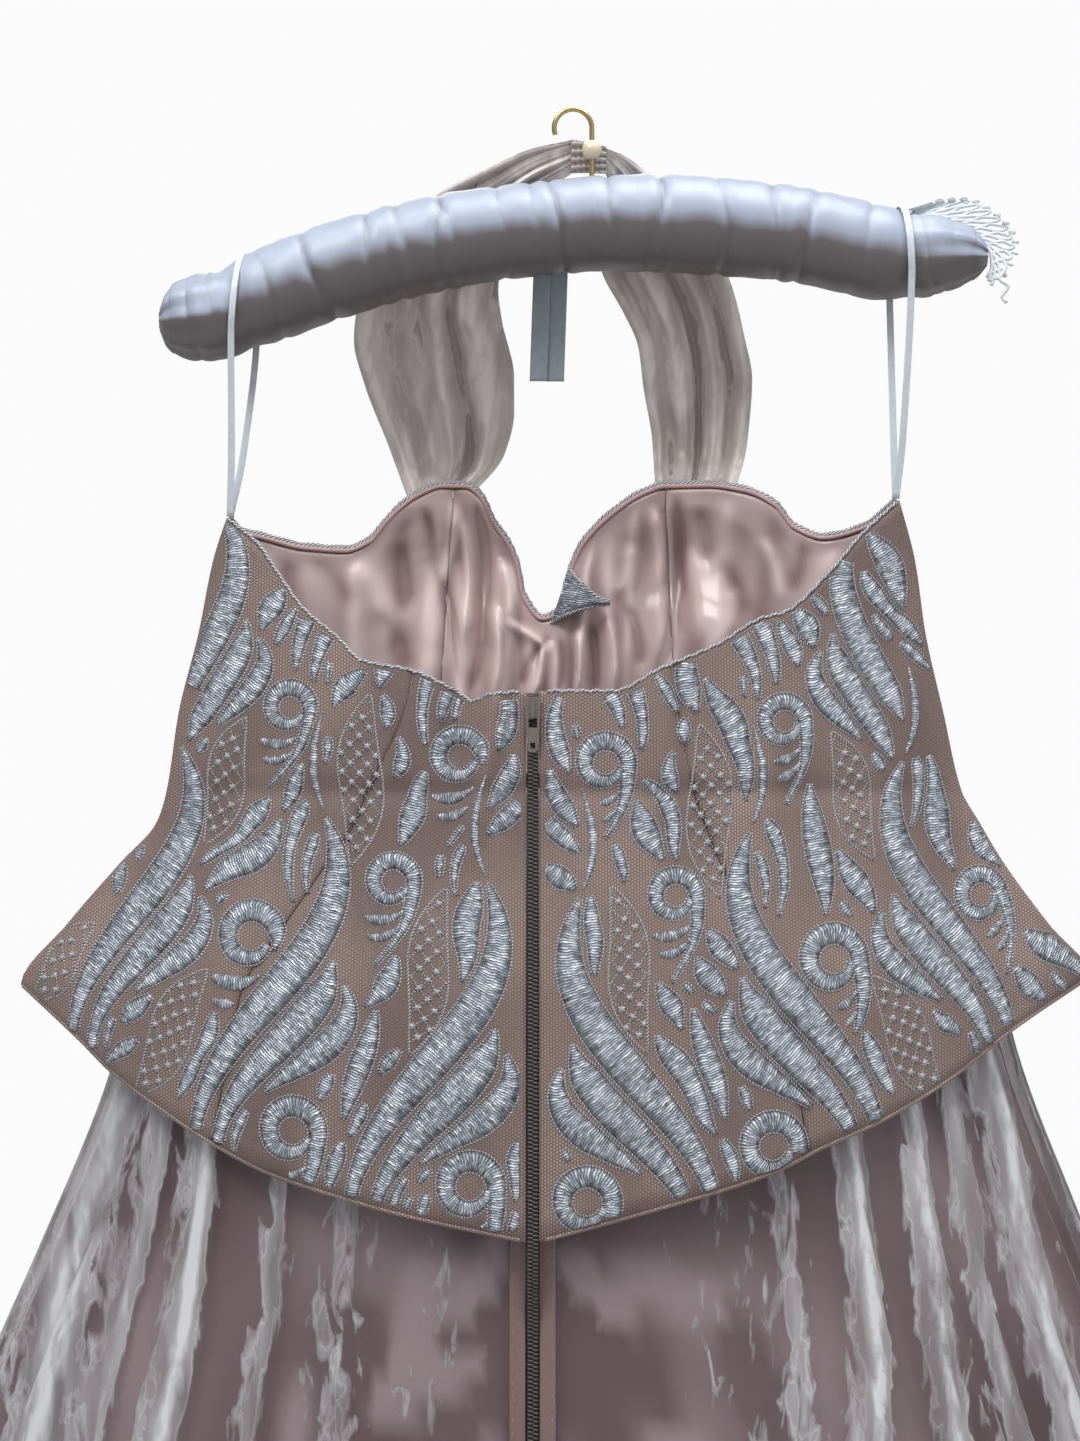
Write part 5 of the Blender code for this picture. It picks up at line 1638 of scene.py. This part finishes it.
def skirt_face(face, place, z, inset, rise, proud):
    """A skirt's outer face: its section at each height, and how far the cloth stands off it."""
    centre = CENTRE_BACK if face == "back" else CENTRE_FRONT

    def base(turn):
        across = np.sin(turn)
        side = np.where(across < 0, skirt("left", z, inset), skirt("right", z, inset))
        hollow = np.maximum(0.0, 1 - np.abs(across) ** CORNER) ** skirt("round", z, inset)
        deep = skirt(face, z, inset) * hollow + GAP / 2
        return centre + np.abs(side - centre) * across, -deep if face == "back" else deep

    turn = place * math.pi / 2
    x, y = base(turn)
    step = 0.01
    ax, ay = base(np.maximum(-math.pi / 2, turn - step))
    bx, by = base(np.minimum(math.pi / 2, turn + step))
    long = np.hypot(bx - ax, by - ay)
    sign = 1.0 if face == "back" else -1.0
    off = rise + proud
    out_x, out_y = sign * (by - ay) / long, -sign * (bx - ax) / long
    return np.stack([x + out_x * off, y + out_y * off, z], -1)


def fine_folds(place, z, seed, side):
    """Narrow folds of the light organza between the main ones, and its small crumples."""
    share = np.clip((WAIST - z) / (WAIST - HEM), 0, 1)
    drift = 0.25 * np.sin(7 * share + seed)
    narrow = np.sin(2 * math.pi * (19 * place + drift)) * (0.6 + 0.4 * np.sin(9 * place + seed))
    small = np.sin(2 * math.pi * (43 * place + 0.6 * np.sin(11 * share + seed + 3 * place)))
    grow = ease(share, 0.04, 0.35) * ease(1 - np.abs(place), 0.02, 0.12) * side
    return grow * (2.2 * narrow + 0.9 * small * ease(share, 0.1, 0.4))


# Columns: x_at_hip, x_below, half_width, strength
STREAKS = (
    (-177, -199, 4.0, 1.0),
    (-231, -262, 8.0, 0.8),
    (-204, -230, 3.0, 0.6),
    (-140, -156, 3.0, 0.5),
    (-105, -118, 9.0, 0.3),
    (-60, -64, 12.0, 0.2),
    (60, 75, 14.0, 0.2),
    (100, 108, 6.0, 0.35),
    (137, 145, 3.5, 1.0),
    (166, 187, 3.5, 0.9),
    (190, 216, 3.0, 0.6),
    (215, 248, 5.0, 0.9),
)


def streaks(x, z, spread=1.0):
    """The sharp folds of the back that catch the light, as wide as they are or spread wider: the cloth stands
    out along them, and a highlight is painted on them.
    """
    total = np.zeros_like(x)
    for at_hip, below, half, strength in STREAKS:
        way = (-520 - z) / 140
        line = at_hip + way * (below - at_hip) + 2.5 * np.sin(z / 37 + at_hip)
        total += strength * bell(x - line + 3 * (spread - 1), spread * half * (1 + 0.25 * np.maximum(way, 0)))
    return total * ease(z, WAIST - 60, WAIST - 150)


def zip_gap(z):
    return GAP / 2 + (ZIP_OPENING - GAP / 2) * ease(z, ZIP_CLOSED, ZIP_END - 18)


# Its light colour is the painted silvery sheen of its folds.
SKIRT_ORGANZA = organza_material("skirt_organza", (0.175, 0.112, 0.120), (0.72, 0.72, 0.725), 0.22, 0.92)
# The underskirt's dark and light colours are its shaded and lit satin: painted shade and painted highlight by
# its wrinkles.
SKIRT_SATIN = satin_material(
    "skirt_satin", (0.105, 0.056, 0.060), (0.80, 0.66, 0.68), 0.28, 30.0, 24.0, 0.002, 0.85
)
# Columns: x0, z0, x1, z1, half_width, rise
SATIN_CREASES = (
    (-30, -548, -58, -588, 7.0, 4.0),
    (-24, -572, -66, -604, 6.0, -3.5),
    (-62, -560, -96, -640, 11.0, 3.5),
    (-44, -606, -108, -632, 8.0, 3.0),
    (-100, -590, -128, -700, 12.0, -3.0),
    (-36, -640, -62, -760, 9.0, 3.5),
    (-72, -650, -110, -760, 12.0, 3.5),
    (-128, -620, -160, -740, 10.0, 3.0),
    (-54, -700, -96, -790, 8.0, -3.0),
    (-26, -690, -34, -800, 6.0, 3.0),
    (-10, -556, 26, -600, 7.0, 3.5),
    (2, -590, 54, -650, 9.0, -3.5),
    (20, -566, 70, -590, 8.0, 3.0),
    (36, -620, 70, -740, 12.0, 4.0),
    (74, -590, 104, -700, 10.0, -3.0),
    (-2, -650, 18, -770, 7.0, 3.5),
    (92, -640, 128, -760, 10.0, 3.0),
    (54, -720, 84, -820, 9.0, -3.0),
    (8, -780, 44, -900, 10.0, 3.0),
    (-30, -800, -80, -930, 12.0, 3.0),
)
FRONT_STREAKS_AT = 9
# Columns: name, material, slot, inset, hem, back folds, front folds, columns, rows
LAYERS = (
    ("overskirt", SKIRT_ORGANZA, "organza", 0.0, HEM, BACK_FOLDS, FRONT_FOLDS, 104, 96),
    ("underskirt", SKIRT_SATIN, "skirt_satin", UNDER_INSET, UNDER_HEM, (), (), 70, 90),
)
for layer, material, slot, inset, hem, back_table, front_table, columns, rows in LAYERS:
    for side in ("left", "right", "front"):
        wide = 2 * columns if side == "front" else columns
        d, a = grid_of(rows, wide)
        z = WAIST + (hem - WAIST) * d**1.15
        if side == "front":
            place, table, face_of = 2 * a - 1, front_table, "front"
        else:
            sign = -1 if side == "left" else 1
            half = np.abs(skirt(side, z, inset) - CENTRE_BACK)
            edge = sign * np.arcsin(zip_gap(z) / half) * 2 / math.pi
            place, table, face_of = edge + a * (sign - edge), back_table, "back"
        rise = fold_rise(table, place, z) if table else np.zeros_like(z)
        seed = {"left": 0.4, "right": 2.3, "front": 4.1}[side]
        if table:
            quiet = 1.0 if side == "front" else ease(np.abs(place), 0.03, 0.55)
            more = fine_folds(place, z, seed, quiet)
        else:
            more = 1.2 * np.sin(9 * place + seed) * np.sin(z / 41 + 4 * place)
            more = more * ease(z, WAIST - 40, WAIST - 160)
            x = skirt_face(face_of, place, z, inset, rise, 0.0)[..., 0]
            more = more + creased(-x if side == "front" else x, z, SATIN_CREASES)
            more = more * ease(1 - np.abs(place), 0.02, 0.1) * ease(np.abs(place), 0.01, 0.06)
        shine = broad = np.zeros_like(z)
        if table:
            x = skirt_face(face_of, place, z, inset, rise, SKIRT_PROUD)[..., 0]
            x = FRONT_STREAKS_AT - x if side == "front" else x
            shine, broad = streaks(x, z), np.minimum(1, 1.5 * streaks(x, z, 2.5))
        grid = skirt_face(face_of, place, z, inset, rise + more + 3.0 * shine, SKIRT_PROUD)
        outward = (0, -1, 0) if face_of == "back" else (0, 1, 0)
        name = layer + ("_front" if side == "front" else "_back_" + side)
        obj = thick(name + "_cloth", grid, SKIRT_CLOTH, outward)
        if table:
            share = np.clip((WAIST - z) / (WAIST - HEM), 0, 1)
            crest = sum(bell(place - p, h * 0.4) * r for p, h, r in table) * ease(share, 0.05, 0.4)
            at_edge = 0.36 * ease(np.abs(place), 0.84, 0.93)
            # Painted sheen: lighter and denser on the fold crests, along the light-catching streaks and at
            # the outer edges.
            mark(obj, 0.02 + 0.12 * crest + 0.05 * np.maximum(0, more) + 0.30 * broad + 0.5 * shine + at_edge)
        else:
            # Painted highlights on the underskirt's wrinkles and painted shade between them.
            mark(obj, 0.08 + 0.8 * ease(more - levelled(more, 40), -0.5, 1.1))
        wear(obj, material, slot, name)
        declare(obj, ("centre_back_left", "centre_front"))


# Padded arm of the hanger
# Foam on a wire arm, in pale blue satin gathered into soft ruches; the ends are pinched and sewn. Its colour
# carries painted light: a painted highlight along its upper side, and painted shade on its underside and in
# the grooves of its ruches.
PAD_COLUMNS = ("x", "z", "radius")
PAD = (
    (-206.5, -104.0, 5.0),
    (-203.0, -104.0, 13.0),
    (-196.0, -103.7, 18.5),
    (-185.0, -103.0, 21.5),
    (-175.0, -101.3, 21.7),
    (-168.0, -98.8, 20.6),
    (-158.0, -94.3, 22.6),
    (-148.0, -90.0, 23.6),
    (-133.0, -84.0, 23.6),
    (-114.0, -77.5, 24.0),
    (-91.0, -71.0, 23.6),
    (-67.0, -65.5, 23.6),
    (-36.0, -60.5, 23.2),
    (-12.0, -58.0, 23.2),
    (15.0, -55.8, 23.6),
    (43.0, -55.6, 24.3),
    (72.0, -57.0, 24.5),
    (98.0, -59.5, 24.0),
    (118.0, -62.2, 23.8),
    (137.0, -66.5, 23.8),
    (153.0, -70.4, 23.6),
    (162.0, -71.8, 21.6),
    (168.0, -72.0, 20.2),
    (174.0, -71.7, 20.6),
    (184.0, -71.2, 18.8),
    (194.0, -71.2, 15.4),
    (202.0, -71.6, 10.5),
    (207.0, -71.8, 4.5),
)
PAD_DEPTH = 0.9
# Columns: x, lean, deep, half_width
RUCHES = (
    (-191, 3.0, 1.2, 2.6),
    (-180, -2.0, 0.9, 2.2),
    (-150, 2.5, 1.2, 3.0),
    (-127, -1.5, 1.7, 3.0),
    (-101, 2.5, 1.8, 3.0),
    (-93, -3.0, 1.5, 2.2),
    (-80, 4.0, 1.5, 3.0),
    (-66, -2.5, 1.8, 2.6),
    (-60, 3.5, 1.2, 2.0),
    (-36, -2.0, 2.0, 2.8),
    (-17, 2.0, 1.6, 2.4),
    (-7, -2.0, 2.4, 2.2),
    (17, 3.0, 1.5, 2.6),
    (40, -3.0, 2.0, 2.6),
    (46, 2.0, 1.2, 2.2),
    (73, 3.5, 1.8, 2.8),
    (100, -2.0, 1.6, 2.8),
    (107, 3.0, 1.3, 2.2),
    (116, -2.5, 1.6, 2.6),
    (143, 2.0, 1.5, 3.0),
    (176, -3.0, 1.1, 2.4),
    (188, 2.5, 1.3, 2.4),
)


def pad(column, x):
    return through(PAD, PAD_COLUMNS, column, x)


def pad_slope(x):
    return np.arctan((pad("z", x + 1) - pad("z", x - 1)) / 2)


def padded_arm():
    span = PAD[0][0], PAD[-1][0]
    x = (span[0] + span[1]) / 2 + (span[1] - span[0]) / 2 * np.sin(np.linspace(-1, 1, 440) * math.pi / 2)
    turns = np.linspace(0, 2 * math.pi, 44, endpoint=False)
    x, turn = np.meshgrid(x, turns, indexing="ij")
    deep = np.zeros_like(x)
    for middle, lean, depth, half in RUCHES:
        line = middle + lean * np.sin(turn + middle) + 1.6 * np.sin(2 * turn + 0.7 * middle)
        fade_round = 0.65 + 0.35 * np.sin(turn + 0.31 * middle)
        deep += 0.9 * depth * fade_round * np.exp(-np.abs((x - line) / (0.8 * half)) ** 1.2)
        deep -= 0.25 * depth * fade_round * bell(np.abs(x - line) - 2.1 * half, 1.6 * half)
    pucker = np.sin(turn * 9 + 0.03 * x) * ease(np.abs(x), 150, 203) * 0.8
    radius = pad("radius", x)
    radius = radius - np.minimum(deep + pucker, 0.3 * radius)
    slope = np.where(np.abs(x) < 200, pad_slope(x), 0.0)
    up, out = radius * np.sin(turn), radius * PAD_DEPTH * np.cos(turn)
    points = np.stack([x - up * np.sin(slope), out, pad("z", x) + up * np.cos(slope)], -1)
    uv = np.stack([x, turn * 20], -1).reshape(-1, 2)
    obj = build("hanger_pad_satin", points.reshape(-1, 3), round_faces(0, *x.shape), uv)
    # The depth of each ruche's groove, which the arm's material turns into painted shade.
    mark(obj, np.clip(0.42 * (deep - 0.35), 0, 0.7), faces=1)
    return obj


# Colours by how far up the surface faces: painted shade below the middle, a painted highlight band above it
# and a greyer top.
ARM_PAINTED_LIGHT_TONES = (
    (0.15, (0.105, 0.090, 0.088)),
    (0.44, (0.135, 0.118, 0.117)),
    (0.56, (0.31, 0.345, 0.42)),
    (0.76, (0.40, 0.45, 0.55)),
    (0.97, (0.28, 0.315, 0.37)),
)
# Painted shade in the grooves of the ruches.
ARM_GROOVE_SHADE = (0.10, 0.10, 0.115)


def arm_material():
    """Blue satin with painted light: painted shade underneath and in the grooves of its ruches, a painted
    highlight band above.
    """
    made, tree, shader = principled("blue_satin", Roughness=0.38, Specular_IOR_Level=0.5)
    place = add(tree, "TexCoord").outputs["Object"]
    rumple = placed(tree, CREASED, Place=place, Across=50.0, Along=14.0).outputs["Height"]
    up = add(tree, "SeparateXYZ", {0: add(tree, "NewGeometry").outputs["Normal"]})
    wavy = ranged(tree, rumple, 0, 1, -0.07, 0.07)
    height = maths(tree, "ADD", ranged(tree, up.outputs["Z"], -1, 1), wavy)
    groove_shade = add(tree, "Attribute", attribute_name="ridge").outputs["Fac"]
    shade = mixed(tree, groove_shade, through_stops(tree, height, ARM_PAINTED_LIGHT_TONES), ARM_GROOVE_SHADE)
    coloured(tree, shader, shade, bumps(tree, rumple, 0.7, 0.0016))
    return made


arm = wear(padded_arm(), arm_material(), "hanger_satin", "hanger_pad")


# Hook, bead, hanging loops and ribbon tails
# A bent brass wire under a cream pearl bead. Two narrow loops of pale ribbon carry the bodice
# by its side seams, and two grey ribbon tails hang behind the arm.
STEM_X = 9.4
BEND_Z, BEAD_Z = -8.0, -19.0
WIRE_HALF = 1.3
LOOP_WIDTH, LOOP_CLOTH, LOOP_REACH = 3.4, 0.6, 9.5
# Columns: near_x, far_x, foot_x, foot_z
LOOPS = {
    "hanging_loop_left": (-169.0, -160.0, -171.4, -202.3),
    "hanging_loop_right": (167.0, 160.5, 161.4, -193.3),
}
LACE_LEAN = math.radians(38)
TAIL_TOP, TAIL_FOOT = -52.0, -132.0
TAIL_WIDTH, TAIL_CLOTH = 9.0, 0.5
# Columns: top_x, how far behind the other one
TAILS = {"ribbon_tail_left": (-14.5, 0.0), "ribbon_tail_right": (-6.0, 1.1)}


def plain_material(name, colour, roughness, metallic=0.0, grain=400.0, **values):
    made, tree, shader = principled(name, Roughness=roughness, Metallic=metallic, **values)
    place = add(tree, "TexCoord").outputs["Object"]
    speck = add(tree, "TexNoise", {"Vector": place, "Scale": grain, "Detail": 2.0}).outputs["Fac"]
    dark = [0.72 * part for part in colour]
    coloured(tree, shader, mixed(tree, speck, dark, colour), bumps(tree, speck, 0.25, 0.0001))
    return made


def ribbon(name, middles, across, width, cloth, material, slot):
    middles, across = np.asarray(middles, float), np.asarray(across, float)
    across /= np.linalg.norm(across, axis=1, keepdims=True)
    s = np.linspace(-0.5, 0.5, 9)
    face = middles[:, None] + across[:, None] * (s * width)[None, :, None]
    ahead = np.gradient(middles, axis=0)
    normal = np.cross(ahead, across)
    normal /= np.linalg.norm(normal, axis=1, keepdims=True)
    outer = face + normal[:, None] * cloth / 2
    obj = shell(name + "_cloth", outer, face - normal[:, None] * cloth / 2)
    return wear(obj, material, slot, name)


def pad_reach(x, half=9.0):
    return max(float(pad("radius", x + half * step / 4)) for step in range(-4, 5))


def smoothed(points, count):
    """The same line with more points, on a smooth curve through them."""
    points = np.asarray(points, float)
    far = far_along(points)
    columns = ("far", "x", "y", "z")
    table = [(f, *p) for f, p in zip(far, points)]
    at = np.linspace(0, far[-1], count)
    return np.stack([through(table, columns, c, at) for c in columns[1:]], -1)


TAPE = plain_material("pale_ribbon", (0.66, 0.71, 0.75), 0.38, Sheen_Weight=0.4)
TAIL = plain_material("grey_ribbon", (0.30, 0.35, 0.37), 0.42, Sheen_Weight=0.4)
for name, (near_x, far_x, foot_x, foot_z) in LOOPS.items():
    middles = [(foot_x, -0.75, foot_z), ((foot_x + near_x) / 2, -5.5, foot_z + 30)]
    across = [(1, 0, 0)] * 2
    for way in np.linspace(0, 1, 19):
        turn = math.radians(-28 + 236 * way)
        x = near_x + way * (far_x - near_x)
        slope = float(pad_slope(x))
        clear = GAP + 0.4 + 2.8 * float(bell(turn - math.pi / 2 - LACE_LEAN, 0.4))
        high = pad_reach(x, LOOP_REACH) / math.cos(slope) + clear
        deep = pad_reach(x, LOOP_REACH) * PAD_DEPTH + clear
        middles.append((x, -deep * math.cos(turn), float(pad("z", x)) + high * math.sin(turn)))
        across.append((math.cos(slope), 0, math.sin(slope)))
    middles += [((foot_x + far_x) / 2, 5.5, foot_z + 30), (foot_x, 0.75, foot_z)]
    across += [(1, 0, 0)] * 2
    more = smoothed(middles, 120)
    side = smoothed(across + np.arange(len(across))[:, None] * np.array([[0, 1e-3, 0]]), 120)
    side[:, 1] = 0
    ribbon(name, more, side, LOOP_WIDTH, LOOP_CLOTH, TAPE, "loop_tape")
reach = PAD_DEPTH * float(pad("radius", -10)) + GAP + 0.4
for name, (top_x, back) in TAILS.items():
    way = np.linspace(0, 1, 40)
    z = TAIL_TOP + way * (TAIL_FOOT - TAIL_TOP)
    sway = 0.8 * np.sin(3 * way) * (1 if back else 0)
    middles = np.stack([top_x - 2.8 * way, reach + back + sway, z], -1)
    ribbon(name, middles, [(1, 0, 0)] * len(middles), TAIL_WIDTH, TAIL_CLOTH, TAIL, "grey_ribbon")


def dress_up(node, material):
    """A rigid node of the frame takes a finished material."""
    mesh = bpy.data.objects[node].data
    mesh.materials.clear()
    mesh.materials.append(material)


BRASS = plain_material("brass_wire", (0.62, 0.48, 0.22), 0.28, 1.0, 900.0)
PEARL = plain_material("cream_pearl", (0.80, 0.68, 0.46), 0.2, 0.0, 120.0, Coat_Weight=0.8)


def hook_wire():
    """The wire's own line: straight out of the arm, round the rail's place, and a blunt tip."""
    turn = np.radians(np.linspace(0, 200, 72))
    ring = np.stack([STEM_X * np.cos(turn), 0 * turn, BEND_Z + STEM_X * np.sin(turn)], -1)
    stem = np.stack([np.full(30, STEM_X), np.zeros(30), np.linspace(-45.0, -8.6, 30)], -1)
    return tube("hook_wire", [np.concatenate([stem, ring])], WIRE_HALF, 14)


wear(hook_wire(), BRASS, "gold_wire", "hook")


def pearl_bead():
    """A bored pearl that is threaded on the stem."""
    bore, radius, count, sides = 1.6, 5.0, 22, 36
    lift = math.acos(bore / radius)
    down = np.linspace(lift, -lift, count)
    profile = np.stack([radius * np.cos(down), radius * np.sin(down)], -1)
    turn = np.arange(sides) * 2 * math.pi / sides
    ring = profile[:, 0][:, None, None] * np.stack([np.cos(turn), np.sin(turn)], -1)[None]
    points = np.concatenate([ring, np.repeat(profile[:, 1], sides).reshape(count, sides, 1)], -1)
    points = points.reshape(-1, 3) + (STEM_X, 0, BEAD_Z)
    index = np.arange(count * sides).reshape(count, sides)
    below, beside = np.roll(index, -1, axis=0), np.roll(index, -1, axis=1)
    both = np.roll(below, -1, axis=1)
    faces = np.stack([index, below, both, beside], -1).reshape(-1, 4)
    return build("pearl_bead", points, faces)


wear(pearl_bead(), PEARL, "pearl", "hook_bead")


# Lace trim of the hanger
# White cotton crochet sewn along the far side of the arm: small arches of thread in rows, low
# where the loops press on it and standing up as a frill at the right end.
# Columns: base_x, base_y, base_z, edge_x, edge_y, edge_z
LACE_END = (
    (176, 9.5, -52.0, 175, 12.0, -45.0),
    (186, 8.0, -53.0, 186, 12.0, -42.0),
    (195, 6.5, -56.5, 197, 12.0, -41.5),
    (202, 5.0, -61.5, 209, 11.0, -47.0),
    (207, 4.0, -66.0, 219, 8.0, -57.0),
    (209.5, 2.0, -71.5, 221, 3.0, -66.0),
    (209.5, 0.0, -77.0, 216, 0.0, -78.5),
    (207.0, -1.5, -83.0, 208.5, -2.0, -87.5),
)
LACE_RISE = 5.5
LACE_PARTS = 12
# Where the loops and the hook press the lace down: x, half_width
LACE_PRESSED = ((-164, 14), (6, 28), (162, 12))
STITCH_LONG = 6.2
THREAD_HALF = 0.95


def lace_rows():
    rows = []
    for i in range(26):
        x = -196 + 14.4 * i
        slope = float(pad_slope(x))
        deep = pad_reach(x) * PAD_DEPTH + GAP + 0.25
        high = pad_reach(x) / math.cos(slope) + GAP + 0.25
        base = (x, deep * math.sin(LACE_LEAN), float(pad("z", x)) + high * math.cos(LACE_LEAN))
        pressed = min(1.0, sum(float(bell(x - place, half)) for place, half in LACE_PRESSED))
        rise = LACE_RISE * (0.8 + 0.2 * math.sin(i * 1.7)) * (1 - 0.8 * pressed)
        rows.append((*base, x, base[1] + rise * 0.15, base[2] + rise))
    return np.array(rows + list(LACE_END), float)


def crochet():
    """Threads of the lace: a chain along its foot, rows of arches, and picots on its edge."""
    rows = lace_rows()
    both = smoothed(rows[:, :3], 900), smoothed(rows[:, 3:], 900)
    far = far_along(both[1])
    count = int(far[-1] / STITCH_LONG)
    stops = np.interp(np.linspace(0, far[-1], count * LACE_PARTS + 1), far, np.arange(900.0))
    low = np.stack([np.interp(stops, np.arange(900.0), both[0][:, k]) for k in range(3)], -1)
    high = np.stack([np.interp(stops, np.arange(900.0), both[1][:, k]) for k in range(3)], -1)
    tall = np.linalg.norm(high - low, axis=1)
    phase = np.arange(len(stops)) / LACE_PARTS
    wave = np.sin(phase * 0.9) * 0.6 + np.sin(phase * 0.37 + 1) * 0.6
    paths = [low]
    levels = 3
    for level in range(1, levels + 1):
        shift = 0.5 * (level % 2)
        arch = np.abs(np.sin(math.pi * (phase + shift)))
        share = (level - 1 + 1.25 * arch) / (levels + 0.25)
        share = np.where(tall < 4, np.minimum(share, 1.0), share)
        point = low + (high - low) * share[:, None]
        point[:, 1] += wave * share * tall * 0.09
        paths += [point[start:end] for start, end in runs(tall > 1.6 * level) if end - start > 6]
    for k in range(count):
        i = min(len(stops) - 1, k * LACE_PARTS + LACE_PARTS // 2)
        if tall[i] > 7:
            spin = np.linspace(0, 2 * math.pi, 10)
            size = 1.1
            ring = np.stack([size * np.sin(spin), 0.3 * np.sin(2 * spin), size * (1 - np.cos(spin))], -1)
            out_of = (high[i] - low[i]) / tall[i]
            paths.append(high[i] + ring[:, :1] * (0.8, 0, -0.3) + ring[:, 2:] * out_of)
    loose = ((216, -1, -79), (213, -3, -84), (217, -4, -88), (214, -4, -93), (216, -5, -96))
    paths.append(smoothed(loose, 24))
    return tube("hanger_lace_crochet", paths, THREAD_HALF, 5)


COTTON = plain_material("white_cotton", (0.72, 0.76, 0.79), 0.8, 0.0, 900.0, Sheen_Weight=0.3)
wear(crochet(), COTTON, "lace", "hanger_lace")


# Zip
# A coil zip down the centre back, shown closed: two rows of coiled teeth on a woven tape, with
# its slider and pull tab at the top edge.
TOOTH_PITCH = 1.9
TOOTH_X, TOOTH_Y = 1.15, -1.3
CHAIN_HALF = 2.7
TAPE_CLOTH = 0.6
COIL = plain_material("zip_coil", (0.14, 0.115, 0.105), 0.4, 0.0, 900.0)


def chain_y(z):
    """The inner face of the chain: level with the bodice, then with the overskirt."""
    edge = np.full(np.shape(z), CENTRE_BACK - ZIP_OPENING)
    on_bodice = -(back_y(edge, z) + PROUD)
    on_skirt = skirt("back", z, 0.0) + GAP / 2
    return -(on_bodice + (on_skirt - on_bodice) * ease(z, -545, -600))


def coil_teeth():
    """One short coil tooth, set along both edges of the chain by a Geometry Nodes tree."""
    spin = np.linspace(-0.2, math.pi + 0.2, 9)
    path = np.stack([1.15 * np.cos(spin) + 0.2, -0.75 * np.sin(spin), 0.12 * spin], -1)
    tooth = tube("coil_tooth", [path], 0.42, 6)
    tooth.data.materials.append(COIL)
    z = np.arange(ZIP_TOP - 1.5, ZIP_END + 1, -TOOTH_PITCH)
    y = chain_y(z) + TOOTH_Y
    left = np.stack([np.full(len(z), CENTRE_BACK - TOOTH_X), y, z], -1)
    right = np.stack([np.full(len(z), CENTRE_BACK + TOOTH_X), y, z - TOOTH_PITCH / 2], -1)
    scattered("zip_teeth", tooth, np.concatenate([left, right]), 0.0, COIL)


ZIP_CLOTH = plain_material("zip_tape", (0.06, 0.048, 0.044), 0.8, 0.0, 1200.0)
ZIP_METAL = plain_material("zip_metal", (0.42, 0.36, 0.32), 0.32, 0.9, 500.0)
coil_teeth()
STITCH_THREAD = plain_material("satin_thread", (0.42, 0.30, 0.29), 0.5)
z = np.linspace(ZIP_TOP, ZIP_END, 180)
s = np.linspace(-1, 1, 9)
face = np.stack([CENTRE_BACK + s[None, :] * CHAIN_HALF + 0 * z[:, None],
                 (chain_y(z) - 0.5)[:, None] + 0.3 * np.abs(s)[None, :], z[:, None] + 0 * s[None, :]], -1)
wear(shell("zip_tapes", face, face + (0, TAPE_CLOTH, 0)), ZIP_CLOTH, "zip_tape", "zip_chain")
dress_up("zip_slider", ZIP_METAL)
dress_up("zip_pull", ZIP_METAL)


# Folded satin beside the zip
# Below the peplum the satin is turned back along both sides of the zip and held by a row of
# stitches.
FOLD_CLOTH, FOLD_WIDTH = 0.6, 7.5
STITCH_HALF = 0.22
FOLDED_SATIN = satin_material(
    "folded_satin", (0.155, 0.095, 0.09), (0.30, 0.205, 0.19), 0.34, 20.0, 16.0, 0.002
)
for side in (-1, 1):
    name = "zip_fold_" + ("left" if side < 0 else "right")
    z, a = np.meshgrid(np.linspace(-548, ZIP_CLOSED - 10, 150), np.linspace(0, 1, 14), indexing="ij")
    x = CENTRE_BACK + side * (np.maximum(zip_gap(z), 0.8) + 0.3 + a * FOLD_WIDTH)
    half = np.abs(skirt("left" if side < 0 else "right", z, 0.0) - CENTRE_BACK)
    place = side * np.arcsin(np.abs(x - CENTRE_BACK) / half) * 2 / math.pi
    grid = skirt_face("back", place, z, 0.0, fold_rise(BACK_FOLDS, place, z), 1.6)
    grid[..., 1] -= 0.5 * np.sin(math.pi * a) + 0.25 * np.sin(z / 13 + side) - 0.3 * ease(z, -545, -560)
    wear(thick(name, grid, FOLD_CLOTH, (0, -1, 0)), FOLDED_SATIN, "skirt_satin")
    seam = grid[:, 10] + (0, -0.15, 0)
    stitches = [seam[i:i + 2] for i in range(0, len(seam) - 2, 2)]
    wear(tube(name + "_stitches", stitches, STITCH_HALF, 5), STITCH_THREAD, "skirt_satin")
